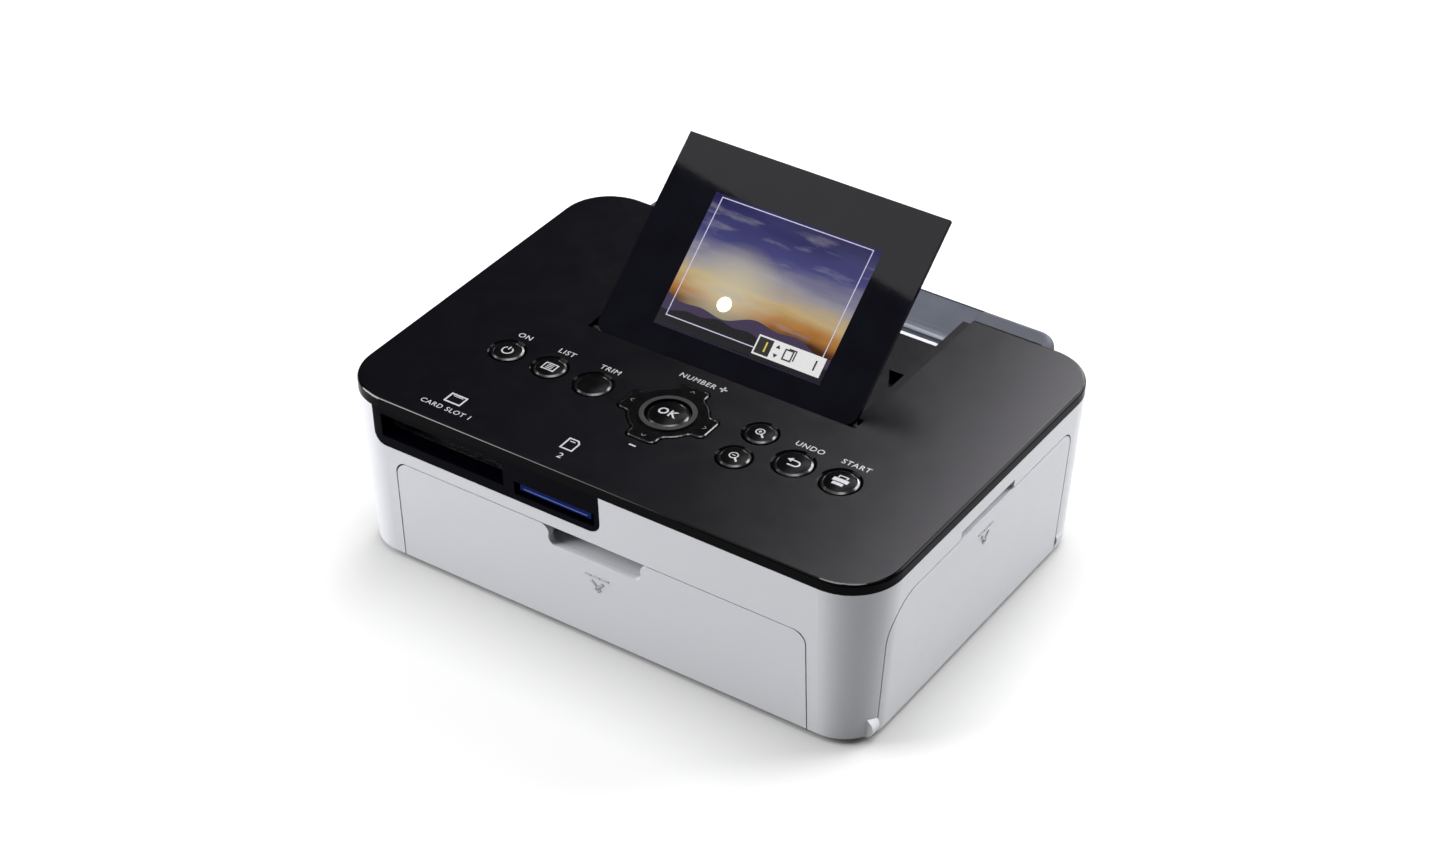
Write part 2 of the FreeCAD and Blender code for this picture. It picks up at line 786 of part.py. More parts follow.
def make_ink_door():
    """Ink door skin with a pin ear at each end"""
    skin = shared(wall_ring, ink_door_form("0"))
    ends = [(("ink_door_front", "ink_door_front + ear_length"),
             ("ink_door_front - overrun", "ink_door_front + hinge_pin_grip"),
             ("ink_door_front - lug_length + seam_gap", "ink_door_front + hinge_pin_grip")),
            (("ink_door_back - ear_length", "ink_door_back"),
             ("ink_door_back - hinge_pin_grip", "ink_door_back + overrun"),
             ("ink_door_back - hinge_pin_grip", "ink_door_back + lug_length - seam_gap"))]
    axis = ("ink_pivot", "ink_pivot_height")
    ears = [rod("y", axis, ear_span, "ear_radius") for ear_span, bore_span, pin_span in ends]
    bores = [rod("y", axis, bore_span, "hinge_pin_radius") for ear_span, bore_span, pin_span in ends]
    piece("ink_door", cut(join(skin, *ears), *bores))
    piece("ink_door_pins", *(rod("y", axis, pin_span, "hinge_pin_radius")
                             for ear_span, bore_span, pin_span in ends))


def boss_places():
    """Centres of the four case screws"""
    for sign in (1, -1):
        yield signed("front_boss_offset", sign), "front_boss_setback - half_depth"
        yield signed("back_boss_offset", sign), "half_depth - back_boss_setback"


def bezel_form(margin):
    """Outline of the card bezel through the front wall"""
    return rounded_block((f"bezel_left - ({margin})", f"bezel_right + {margin}"),
                         ("0 - half_depth - overrun", "0 - half_depth + top_corner"),
                         (f"bezel_bottom - ({margin})", "cover_height + overrun"), "bezel_corner", "y")


def make_case_shell():
    """White case wall with hinge blocks, hinge lugs, screw bosses and the finger pocket"""
    bosses = [rod("z", centre, ("floor_top", "floor_top + boss_height"), "boss_radius")
              for centre in boss_places()]
    pilots = [rod("z", centre, ("floor_top - overrun", "floor_top + screw_length"), "screw_radius")
              for centre in boss_places()]
    blocks, block_bores = [], []
    for sign in (1, -1):
        span = mirrored("front_door_half + seam_gap", "front_door_half + seam_gap + ear_length", sign)
        blocks.append(block(span, ("front_pivot - case_wall", "front_pivot + ear_radius"),
                            ("floor_top", "front_pivot_height + ear_radius")))
        block_bores.append(rod("x", ("front_pivot", "front_pivot_height"),
                               mirrored("front_door_half - overrun",
                                        "front_door_half + hinge_pin_reach + moving_gap", sign),
                               "hinge_pin_radius + running_gap"))
    axis = ("ink_pivot", "ink_pivot_height")
    lug_ends = [("ink_door_front - lug_length - seam_gap", "ink_door_front - seam_gap"),
                ("ink_door_back + seam_gap", "ink_door_back + seam_gap + lug_length")]
    lugs = [rod("y", axis, span, "lug_radius") for span in lug_ends]
    lug_bores = [rod("y", axis, ("ink_door_front - lug_length + seam_gap - moving_gap",
                                 "ink_door_back + lug_length - seam_gap + moving_gap"),
                     "hinge_pin_radius + running_gap")]
    pocket_span = wide("notch_width / 2 + notch_shoulder + pocket_wall")
    pocket = join(block(pocket_span, ("0 - foot_half_depth + case_wall - end_taper / 2",
                                      "0 - foot_half_depth + pocket_depth"),
                        ("front_door_top - notch_depth - pocket_wall", "front_door_top + 2 * pocket_wall")),
                  block(pocket_span, ("0 - half_depth + case_wall", "0 - foot_half_depth + pocket_depth"),
                        ("front_door_top + pocket_wall", "front_door_top + 2 * pocket_wall")))
    pocket_hollow = block(wide("notch_width / 2 + notch_shoulder"),
                          ("0 - half_depth", "0 - foot_half_depth + pocket_depth - pocket_wall"),
                          ("front_door_top - notch_depth", "front_door_top + pocket_wall"))
    openings = [front_door_form("seam_gap"), ink_door_form("seam_gap"), bezel_form("0"),
                block(wide("well_half"), ("well_back", "half_depth + overrun"), ("sill_top", "cover_height")),
                block(wide("paper_half_width"), ("half_depth - 2 * case_wall - end_taper",
                                                 "half_depth + overrun"),
                      ("guide_top", "guide_top + rear_slot_height")),
                rod("x", ("inlet_place", "inlet_axis_height"),
                    ("0 - half_width - overrun", "0 - foot_half_width + side_taper"),
                    "inlet_bore_radius + case_wall / 2"),
                block(("0 - half_width - overrun", "0 - foot_half_width + side_taper"),
                      ("usb_place - usb_width / 2 - port_gap", "usb_place + usb_width / 2 + port_gap"),
                      ("side_board_top - port_gap", "side_board_top + usb_height + port_gap"))]
    walls = cut(wall_ring, *openings)
    scoop = block(("half_width - scoop_depth - side_taper / 6", "half_width + overrun"),
                  ("scoop_front", "scoop_back"), ("ink_door_top", "ink_door_top + scoop_height"))
    sill = join(block(wide("sill_half"), ("well_back + seam_gap", "half_depth"),
                      ("sill_top - sill_thickness", "sill_top")),
                block(wide("sill_half"), ("well_back + seam_gap", "well_back + seam_gap + sill_rib"),
                      ("sill_top - sill_thickness", "well_floor")))
    inside = shared(outer_form, join(*bosses, *blocks, sill))
    shell = join(cut(walls, scoop), cut(inside, front_door_form("seam_gap")), cut(pocket, pocket_hollow),
                 *lugs)
    piece("case_shell", cut(shell, *pilots, *block_bores, *lug_bores))


def make_base_tray():
    """Floor of the case with board posts and screw holes"""
    slab = shared(inner_form, block(wide("half_width"), wide("half_depth"), ("feet_height", "floor_top")))
    clear_front = block(wide("front_door_half + seam_gap"), ("0 - half_depth", "front_pivot + front_sweep"),
                        ("0", "cover_height"))
    clear_side = block(("ink_pivot - ink_sweep", "half_width"),
                       ("ink_door_front - 2 * seam_gap - lug_length", "ink_door_back + 2 * seam_gap + lug_length"),
                       ("0", "cover_height"))
    holes = [rod("z", centre, ("0", "cover_height"), "screw_radius + running_gap") for centre in boss_places()]
    head_seats = [rod("z", centre, ("0", "feet_height + screw_head_height"),
                      "screw_head_radius + running_gap") for centre in boss_places()]
    board_posts = [rod("z", ("board_post_place", place), ("feet_height", "main_board_bottom"),
                       "board_post_radius")
                   for place in ("main_board_back - board_post_inset", "bezel_back + board_post_inset")]
    side_posts = [rod("z", ("0 - foot_half_width + 2 * case_wall + board_post_radius", place),
                      ("feet_height", "side_board_bottom"), "board_post_radius")
                  for place in ("side_board_front + board_post_radius", "side_board_back - board_post_radius")]
    tray = cut(slab, clear_front, clear_side, *holes, *head_seats)
    piece("base_tray", join(tray, *board_posts, *side_posts))


def make_fasteners_and_feet():
    """Four case screws and four rubber feet"""
    screws = [join(rod("z", centre, ("feet_height", "feet_height + screw_head_height"), "screw_head_radius"),
                   rod("z", centre, ("feet_height", "floor_top + screw_length"), "screw_radius"))
              for centre in boss_places()]
    piece("case_screws", *screws)
    feet = [rod("z", (signed("foot_offset", across), signed("half_depth - foot_setback", along)),
                ("0", "feet_height"), "foot_radius") for across in (1, -1) for along in (1, -1)]
    piece("rubber_feet", *feet)


def make_card_bezel():
    """Glossy frame of the two card slots, deeper than the wall it sits in"""
    skin = shared(wall_ring, bezel_form("0 - seam_gap / 4"))
    depth = rounded_block(("bezel_left + bezel_inset", "bezel_right - bezel_inset"),
                          ("0 - half_depth + case_wall / 2", "bezel_back"),
                          ("bezel_bottom + bezel_inset", "rim_bottom - bezel_inset"), "bezel_corner", "y")
    mouth = ("0 - half_depth - overrun", "bezel_back - socket_wall")
    through = ("0 - half_depth - overrun", "bezel_back + overrun")
    slots = [block(("large_slot_left", "large_slot_right"), mouth, ("large_slot_bottom", "large_slot_top")),
             block(("large_slot_left", "large_slot_right"), through,
                   ("large_slot_bottom", "large_slot_bottom + large_cavity_height")),
             block(("small_slot_left", "small_slot_right"), mouth, ("small_slot_bottom", "small_slot_top")),
             block(("card_middle - card_width / 2 - card_gap", "card_middle + card_width / 2 + card_gap"),
                   through, ("card_bottom - card_gap", "card_top + card_gap"))]
    piece("card_bezel", cut(join(skin, shared(outer_form, depth)), *slots))


BUTTONS = [
    ("power_button", "power_place", "button_row", "power_radius"),
    ("menu_button", "menu_place", "button_row", "menu_radius"),
    ("edit_button", "edit_place", "button_row", "edit_radius"),
    ("zoom_in_button", "zoom_place", "zoom_in_row", "zoom_radius"),
    ("zoom_out_button", "zoom_place", "zoom_out_row", "zoom_radius"),
    ("back_button", "back_place", "button_row", "back_radius"),
    ("print_button", "print_place", "button_row", "print_radius"),
]


def pad_prism(margin, low, high):
    """Cross with round arms around a disc, between two heights"""
    arm, reach = f"pad_arm + {margin}", f"pad_reach + {margin}"
    centre = ("pad_place", "button_row")
    spans = {"across": (f"pad_place - ({reach})", f"pad_place + {reach}"),
             "thin_across": (f"pad_place - ({arm})", f"pad_place + {arm}"),
             "along": (f"button_row - ({reach})", f"button_row + {reach}"),
             "thin_along": (f"button_row - ({arm})", f"button_row + {arm}")}
    cross = join(rod("z", centre, (low, high), f"pad_disc + {margin}"),
                 block(spans["across"], spans["thin_along"], (low, high)),
                 block(spans["thin_across"], spans["along"], (low, high)))
    return soften(cross, "pad_round", lambda edge: is_along(edge, Z_AXIS))


def crowned(centre, low, top, radius):
    """Round cap with a slightly domed top"""
    ball = doc.addObject("Part::Sphere", "Crown")
    ball.setExpression("Radius", bound("button_crown_radius"))
    ball.setExpression("Placement.Base.x", bound(centre[0]))
    ball.setExpression("Placement.Base.y", bound(centre[1]))
    ball.setExpression("Placement.Base.z", bound(f"({top}) - button_crown_radius"))
    return shared(rod("z", centre, (low, top), radius), ball)


def make_buttons():
    """Round buttons, each with a flange that keeps it under the cover"""
    for label, across, along, radius in BUTTONS:
        centre = (across, along)
        cap = crowned(centre, "flange_bottom", "cover_height + button_rise", f"{radius} - button_gap")
        flange = rod("z", centre, ("flange_bottom", "flange_top"), f"{radius} + button_lip")
        piece(label, join(cap, flange))
    centre = ("pad_place", "button_row")
    ok_cap = crowned(centre, "ok_flange_bottom", "cover_height + ok_rise", "ok_radius")
    ok_flange = rod("z", centre, ("ok_flange_bottom", "ok_flange_top"), "ok_radius + button_lip")
    piece("ok_button", join(ok_cap, ok_flange))
    plate = pad_prism("0 - button_gap", "pad_under", "cover_height + pad_rise")
    flange = pad_prism("button_lip", "pad_under", "pad_flange_top")
    collar = rod("z", centre, ("pad_under", "cover_height + pad_collar_rise"), "pad_collar_radius")
    hole = rod("z", centre, ("0", "cover_height + overrun"), "ok_radius + button_gap")
    piece("nav_pad", cut(join(plate, flange, collar), hole))
    piece("pad_ring", cut(rod("z", centre, ("pad_ring_bottom", "pad_ring_top"), "pad_ring_outer"),
                          rod("z", centre, ("0", "cover_height"), "pad_ring_inner")))


def make_top_cover():
    """Black cover plate with a rim, the screen well, and a hole for each button"""
    plate = plate_body("cover", wide("half_width"), wide("half_depth"), ("rim_bottom", "cover_height"),
                       "top_corner")
    top = at("cover_height")
    edged = soften(plate, "cover_edge", lambda edge: abs(edge.BoundBox.ZMin - top) < ALIKE)
    hollow = rounded_block(wide("half_width - case_wall"), wide("half_depth - case_wall"),
                           ("rim_bottom - overrun", "cover_underside"), "top_corner - case_wall")
    tray = block(wide("ledge_half + well_wall"),
                 ("well_front - well_wall", "half_depth - case_wall - 2 * seam_gap"),
                 ("well_floor - well_wall", "cover_height"))
    well = block(wide("well_half"), ("well_front", "half_depth + overrun"),
                 ("well_floor", "cover_height + overrun"))
    well_end = block(wide("well_half"), ("well_back", "half_depth + overrun"),
                     ("well_floor - well_wall - overrun", "cover_height"))
    ledge = block(wide("ledge_half"), ("well_front", "half_depth + overrun"),
                  ("cover_height - ledge_depth", "cover_height + overrun"))
    hinge_relief = block(wide("ledge_half"), ("well_front", "hinge_relief_back"),
                         ("well_floor", "cover_height"))
    rests = [block(mirrored("well_half - rest_width", "well_half + well_wall", sign),
                   ("rest_place - rest_length / 2", "rest_place + rest_length / 2"),
                   ("well_floor - well_wall", "well_floor + rest_height")) for sign in (1, -1)]
    holes = []
    for label, across, along, radius in BUTTONS:
        holes.append(rod("z", (across, along), ("rim_bottom", "cover_height + overrun"), radius))
        holes.append(rod("z", (across, along), ("cover_height - countersink", "cover_height + countersink"),
                         radius, f"{radius} + 2 * countersink"))
    holes.append(pad_prism("0", "rim_bottom", "cover_height + overrun"))
    pin_bore = rod("x", ("screen_axis_place", "screen_axis_height"), wide("ledge_half + well_wall + overrun"),
                   "screen_pin_radius + running_gap")
    posts = [rod("z", (across, along), ("board_top", "cover_underside"), "key_post_radius")
             for across in ("key_board_left + key_post_inset", "key_board_right - key_post_inset")
             for along in ("key_board_front + key_post_inset", "key_board_back - key_post_inset")]
    sheet = cut(edged, hollow, *holes)
    cover = cut(join(sheet, tray, *posts), well, well_end, ledge, hinge_relief, pin_bore)
    piece("top_cover", join(cover, *rests))


def make_rear_hood():
    """Rounded bar behind the cover, with a finger ramp under the closed screen's back edge"""
    bar = plate_body("hood", wide("hood_half"), ("half_depth - hood_corner", "hood_back"),
                     ("hood_bottom", "hood_height"), "hood_corner")
    top = at("hood_height")
    rounded = soften(bar, "hood_edge", lambda edge: edge.BoundBox.ZMin > top - ALIKE)
    front = block(wide("2 * half_width"), ("0", "half_depth"), ("0", "cover_height + overrun"))
    inner = block(wide("sill_half"), ("hood_front", "half_depth + case_wall"), ("sill_top", "hood_height"))
    profile = [("hood_front - overrun", "well_floor"), ("hood_front + hood_land", "well_floor"),
               ("hood_back - hood_lip", "well_floor + hood_ramp_rise"),
               ("hood_back - hood_lip", "cover_height + overrun"),
               ("hood_front - overrun", "cover_height + overrun")]
    sketch = doc.addObject("Sketcher::SketchObject", "RampSection")
    sketch.Placement = Placement(Vector(), UPRIGHT["x"])
    draw_polygon(sketch, profile)
    ramp = extrusion(sketch, X_AXIS, *wide("ledge_half"))
    hollow = block(wide("hood_half - case_wall"),
                   ("half_depth + case_wall", "hood_back - case_wall"), ("0", "well_floor"))
    piece("rear_hood", cut(join(cut(rounded, front), inner), ramp, hollow))


def tilted(label, *flat):
    """Screen piece drawn lying flat around its hinge axis, raised to the screen's angle"""
    raised = piece(label, *flat)
    raised.Placement = Placement(Vector(), Rotation(X_AXIS, at("screen_tilt")))
    raised.setExpression("Placement.Base.y", bound("screen_axis_place - hood_depth / 2"))
    raised.setExpression("Placement.Base.z", bound("screen_axis_height"))
    raised.setExpression("Placement.Rotation.Angle", bound("screen_tilt"))


def make_screen():
    """Tilting screen: front plate with a window, display module, back shell and hinge pins"""
    plate = rounded_block(wide("screen_half"), ("0 - screen_foot", "screen_top_edge"),
                          ("screen_under", "screen_face"), "screen_corner")
    square_top = block(wide("screen_half"), ("shell_top_edge", "screen_top_edge"),
                       ("screen_under", "screen_face"))
    window = block(("window_left", "window_right"), ("window_low", "window_high"),
                   ("screen_under - overrun", "screen_face + overrun"))
    tilted("screen_front", cut(join(plate, square_top), window))
    module = block(("window_left - lcd_border", "window_right + lcd_border"),
                   ("window_low - lcd_border", "window_high + lcd_border"),
                   ("screen_under - lcd_thickness", "screen_under"))
    glass = block(("window_left", "window_right"), ("window_low", "window_high"),
                  ("screen_under - lcd_thickness", "screen_face - lcd_recess"))
    tilted("lcd_module", join(module, glass))
    tub = rounded_block(wide("shell_half"), ("0 - screen_foot / 2", "shell_top_edge"),
                        ("screen_rear", "screen_under"), "screen_corner")
    rear = at("screen_rear")
    tub = soften(tub, "screen_wall", lambda edge: abs(edge.BoundBox.ZMax - rear) < ALIKE)
    hollow = block(wide("shell_half - screen_wall"),
                   ("screen_pin_block - screen_foot / 2", "shell_top_edge - screen_wall"),
                   ("screen_rear + screen_wall", "screen_under + overrun"))
    rest_local = "(rest_place - screen_axis_place)"
    pockets = [block(mirrored("well_half - rest_width - moving_gap", "shell_half + overrun", sign),
                     (f"{rest_local} - rest_length / 2 - moving_gap",
                      f"{rest_local} + rest_length / 2 + moving_gap"),
                     ("screen_rear - overrun",
                      "well_floor + rest_height + moving_gap - screen_axis_height")) for sign in (1, -1)]
    pocket_tops = [block(mirrored("well_half - rest_width - moving_gap - screen_wall", "shell_half", sign),
                         (f"{rest_local} - rest_length / 2 - moving_gap - screen_wall",
                          f"{rest_local} + rest_length / 2 + moving_gap + screen_wall"),
                         ("screen_rear", "screen_under")) for sign in (1, -1)]
    bores = [rod("x", ("0", "0"), mirrored("shell_half - screen_pin_block", "screen_half", sign),
                 "screen_pin_radius") for sign in (1, -1)]
    shell = join(cut(tub, hollow), *(shared(block_top, tub) for block_top in pocket_tops))
    tilted("screen_back", cut(shell, *pockets, *bores))
    pins = [rod("x", ("0", "0"), mirrored("shell_half - screen_pin_block", "ledge_half + well_wall", sign),
                "screen_pin_radius") for sign in (1, -1)]
    tilted("screen_pins", *pins)


def make_key_board():
    """Circuit board and rubber mat under the buttons"""
    piece("key_board", block(("key_board_left", "key_board_right"), ("key_board_front", "key_board_back"),
                             ("key_board_bottom", "board_top")))
    sheet = block(("key_board_left + mat_margin", "key_board_right - mat_margin"),
                  ("key_board_front + mat_margin", "key_board_back - mat_margin"), ("board_top", "mat_top"))
    domes = [rod("z", (across, along), ("board_top", "dome_top"), "dome_radius")
             for label, across, along, radius in BUTTONS]
    centre = ("pad_place", "button_row")
    ring = cut(rod("z", centre, ("board_top", "mat_top + mat_ring_height"), "pad_ring_outer"),
               rod("z", centre, ("0", "cover_height"), "pad_ring_inner"))
    piece("key_mat", join(sheet, ring, *domes))


def make_card_reader():
    """Main board with the two card sockets, and the memory card in the smaller one"""
    piece("main_board", block(("main_board_left", "main_board_right"), ("bezel_back", "main_board_back"),
                              ("main_board_bottom", "main_board_top")))
    large = block(("large_slot_left - socket_wall", "large_slot_right + socket_wall"),
                  ("bezel_back", "bezel_back + large_cavity_depth + socket_wall"),
                  ("main_board_top", "large_slot_bottom + large_cavity_height + socket_wall"))
    large_cavity = block(("large_slot_left", "large_slot_right"),
                         ("bezel_back - overrun", "bezel_back + large_cavity_depth"),
                         ("large_slot_bottom", "large_slot_bottom + large_cavity_height"))
    piece("large_card_socket", cut(large, large_cavity))
    card_span = ("card_middle - card_width / 2", "card_middle + card_width / 2")
    loose_span = ("card_middle - card_width / 2 - card_gap", "card_middle + card_width / 2 + card_gap")
    small = block(("small_slot_left - socket_wall", "small_slot_right + socket_wall"),
                  ("bezel_back", "card_back + card_gap + socket_wall"),
                  ("main_board_top", "card_top + card_gap + socket_wall"))
    small_cavity = block(loose_span, ("bezel_back - overrun", "card_back + card_gap"),
                         ("card_bottom - card_gap", "card_top + card_gap"))
    piece("small_card_socket", cut(small, small_cavity))
    card = block(card_span, ("card_front", "card_back"), ("card_bottom", "card_top"))
    piece("memory_card", soften(card, "card_gap", lambda edge: is_along(edge, X_AXIS)))


def make_side_sockets():
    """Power inlet and data port on a small board beside the left wall"""
    left = "0 - foot_half_width + case_wall + side_board_depth"
    piece("side_board", block(("0 - foot_half_width + 2 * case_wall", left),
                              ("side_board_front", "side_board_back"), ("side_board_bottom", "side_board_top")))
    inlet = block(("0 - foot_half_width + case_wall", "port_face + case_wall + inlet_length"),
                  ("inlet_place - inlet_width / 2", "inlet_place + inlet_width / 2"),
                  ("side_board_top", "side_board_top + inlet_height"))
    axis = ("inlet_place", "inlet_axis_height")
    collar = rod("x", axis, ("port_face", "port_face + case_wall + inlet_bore_depth"),
                 "inlet_bore_radius + case_wall / 4")
    bore = rod("x", axis, ("port_face - overrun", "port_face + inlet_bore_depth"), "inlet_bore_radius")
    contact = rod("x", axis, ("port_face + case_wall", "port_face + inlet_length"), "inlet_pin_radius")
    piece("power_inlet", join(cut(join(inlet, collar), bore), contact))
    middle = ("usb_place", "usb_axis_height")
    body = block(("port_face", "port_face + usb_length"),
                 (f"{middle[0]} - usb_width / 2", f"{middle[0]} + usb_width / 2"),
                 ("side_board_top", "side_board_top + usb_height"))
    mouth = block(("port_face - overrun", "port_face + usb_mouth_depth"),
                  (f"{middle[0]} - usb_mouth_width / 2", f"{middle[0]} + usb_mouth_width / 2"),
                  (f"{middle[1]} - usb_mouth_height / 2", f"{middle[1]} + usb_mouth_height / 2"))
    tongue = block(("port_face + case_wall / 2", "port_face + usb_mouth_depth"),
                   (f"{middle[0]} - usb_tongue_width / 2", f"{middle[0]} + usb_tongue_width / 2"),
                   (f"{middle[1]} - usb_tongue_height / 2", f"{middle[1]} + usb_tongue_height / 2"))
    piece("usb_port", join(cut(body, mouth), tongue))


# Axes of the mechanism, each as its place along the depth and its height
AXES = {
    "platen": ("platen_place", "platen_height"),
    "capstan": ("capstan_place", "capstan_height"),
    "pinch": ("capstan_place", "pinch_height"),
    "pickup": ("pickup_place", "pickup_height"),
    "takeup": ("takeup_place", "spool_height"),
    "supply": ("supply_place", "spool_height"),
    "pinion": ("capstan_place", "pinion_height"),
}


def tooth_count(name):
    """Number of teeth of a gear"""
    return int(at(f"{name}_teeth"))


def gear_radius(name):
    """Pitch radius of a gear"""
    return at("tooth_length") * tooth_count(name) / 2


def idler_centre(first, second, idler, side):
    """Centre of an idler that meshes with two gears, above or below their line"""
    start = Vector(0, at(AXES[first][0]), at(AXES[first][1]))
    end = Vector(0, at(AXES[second][0]), at(AXES[second][1]))
    near = gear_radius(first) + gear_radius(idler)
    far = gear_radius(second) + gear_radius(idler)
    line = end - start
    along = (near ** 2 - far ** 2 + line.Length ** 2) / (2 * line.Length)
    aside = math.sqrt(near ** 2 - along ** 2)
    forward = Vector(line).normalize()
    return start + forward * along + X_AXIS.cross(forward) * aside * side


def gear_centres():
    """Centre of every gear in the plane of the train"""
    centres = {name: Vector(0, at(AXES[name][0]), at(AXES[name][1]))
               for name in ("capstan", "pinion", "platen", "takeup")}
    centres["rear_idler"] = idler_centre("capstan", "platen", "rear_idler", -1)
    centres["front_idler"] = idler_centre("platen", "takeup", "front_idler", 1)
    return centres


GEAR_CENTRES = gear_centres()
# Each gear takes its teeth's angle from the one before it in the train
GEAR_TRAIN = [("capstan", "pinion"), ("capstan", "rear_idler"), ("rear_idler", "platen"),
              ("platen", "front_idler"), ("front_idler", "takeup")]


def gear_phases():
    """Angle of one tooth of each gear, so that the train is in mesh"""
    phases = {"capstan": 0.0}
    for driver, driven in GEAR_TRAIN:
        line = GEAR_CENTRES[driven] - GEAR_CENTRES[driver]
        toward = math.atan2(line.z, line.y)
        lead = phases[driver] - toward
        gap = toward + math.pi - lead * tooth_count(driver) / tooth_count(driven)
        phases[driven] = gap + math.pi / tooth_count(driven)
    return phases


GEAR_PHASES = gear_phases()
ADDENDUM_SHARE = 0.9
DEDENDUM_SHARE = 1.2
TIP_FLANK_SHARE = 0.36
ROOT_FLANK_SHARE = 1.55


def gear_solid(name, bore_radius):
    """Spur gear with straight-flanked teeth in the plane of the train"""
    pitch, unit = gear_radius(name), at("tooth_length")
    tip, root = pitch + ADDENDUM_SHARE * unit, pitch - DEDENDUM_SHARE * unit
    half_tooth = (math.pi * unit / 4 - at("gear_backlash") / 2) / pitch
    corners = [(root, -half_tooth * ROOT_FLANK_SHARE), (pitch, -half_tooth), (tip, -half_tooth * TIP_FLANK_SHARE),
               (tip, half_tooth * TIP_FLANK_SHARE), (pitch, half_tooth), (root, half_tooth * ROOT_FLANK_SHARE)]
    centre = GEAR_CENTRES[name]
    points = []
    for tooth in range(tooth_count(name)):
        middle = GEAR_PHASES[name] + 2 * math.pi * tooth / tooth_count(name)
        for radius, turn in corners:
            points.append(centre + Vector(at("gear_left"), radius * math.cos(middle + turn),
                                          radius * math.sin(middle + turn)))
    wheel = Part.Face(Part.makePolygon(points + points[:1])).extrude(Vector(at("gear_width"), 0, 0))
    hole = Part.makeCylinder(bore_radius, at("gear_width"), centre + Vector(at("gear_left"), 0, 0), X_AXIS)
    feature = doc.addObject("Part::Feature", "Gear")
    feature.Shape = wheel.cut(hole)
    return feature


def make_gears():
    """Gears of the feed train, and the two idlers' axles"""
    piece("platen_gear", gear_solid("platen", at("platen_shaft_radius")))
    piece("capstan_gear", gear_solid("capstan", at("capstan_shaft_radius")))
    idler_bore = at("idler_axle_radius") + at("running_gap")
    piece("rear_idler", gear_solid("rear_idler", idler_bore))
    piece("front_idler", gear_solid("front_idler", idler_bore))
    axles = []
    for name in ("rear_idler", "front_idler"):
        centre = GEAR_CENTRES[name]
        head_left = at("gear_left") - at("idler_head_height") - at("moving_gap")
        shaft = Part.makeCylinder(at("idler_axle_radius"), at("left_plate") - head_left,
                                  centre + Vector(head_left, 0, 0), X_AXIS)
        head = Part.makeCylinder(at("idler_head_radius"), at("idler_head_height"),
                                 centre + Vector(head_left, 0, 0), X_AXIS)
        axles.append(shaft.fuse(head).removeSplitter())
    feature = doc.addObject("Part::Feature", "Axles")
    feature.Shape = Part.makeCompound(axles)
    piece("idler_axles", feature)


def make_chassis():
    """Two side plates with bearings for the shafts, and a window for the ink cassette on the right"""
    for label, left, right in (("chassis_plate_left", "left_plate", "left_plate_inner"),
                               ("chassis_plate_right", "right_plate", "right_plate_outer")):
        high = block((left, right), ("chassis_step", "chassis_back"), ("floor_top", "chassis_top"))
        low = block((left, right), ("chassis_front", "chassis_step"), ("floor_top", "main_board_bottom"))
        bores = [("platen", "platen_shaft_radius"), ("capstan", "capstan_shaft_radius"),
                 ("pinch", "pinch_shaft_radius"), ("pickup", "pickup_shaft_radius")]
        cuts = [rod("x", AXES[name], (f"{left} - overrun", f"{right} + overrun"), f"{radius} + running_gap")
                for name, radius in bores]
        if label == "chassis_plate_left":
            cuts += [rod("x", AXES[name], (f"{left} - overrun", f"{right} + overrun"),
                         "drive_shaft_radius + running_gap") for name in ("takeup", "supply")]
        else:
            cuts.append(rounded_block((f"{left} - overrun", f"{right} + overrun"),
                                      ("ink_window_front", "ink_window_back"),
                                      ("ink_window_bottom", "ink_window_top"), "hood_edge", "x"))
        piece(label, cut(join(high, low), *cuts))


def make_paper_path():
    """Paper guide and the platen, capstan, pinch and pick-up rollers"""
    guide = block(("left_plate_inner", "right_plate"), ("guide_front", "guide_back"),
                  ("guide_top - guide_thickness", "guide_top"))
    platen_gap = block(wide("paper_half_width + moving_gap"),
                       ("platen_place - platen_radius - moving_gap", "platen_place + platen_radius + moving_gap"),
                       ("0", "paper_height"))
    piece("paper_guide", cut(guide, platen_gap))
    piece("platen_shaft", rod("x", AXES["platen"], ("gear_left - shaft_overhang", "right_plate_outer + shaft_overhang"),
                              "platen_shaft_radius"))
    piece("platen_roller", cut(rod("x", AXES["platen"], wide("paper_half_width"), "platen_radius"),
                               rod("x", AXES["platen"], wide("half_width"), "platen_shaft_radius")))
    piece("capstan_roller", join(
        rod("x", AXES["capstan"], ("gear_left - shaft_overhang", "right_plate_outer + shaft_overhang"),
            "capstan_shaft_radius"),
        rod("x", AXES["capstan"], wide("capstan_half_length"), "capstan_radius")))
    piece("pinch_roller", join(
        rod("x", AXES["pinch"], ("left_plate - gear_plate_gap / 2", "right_plate_outer + shaft_overhang"),
            "pinch_shaft_radius"),
        rod("x", AXES["pinch"], wide("capstan_half_length"), "pinch_radius")))
    piece("pickup_roller", join(
        rod("x", AXES["pickup"], ("left_plate - gear_plate_gap / 2", "right_plate_outer + shaft_overhang"),
            "pickup_shaft_radius"),
        rod("x", AXES["pickup"], wide("pickup_half_width"), "pickup_radius")))


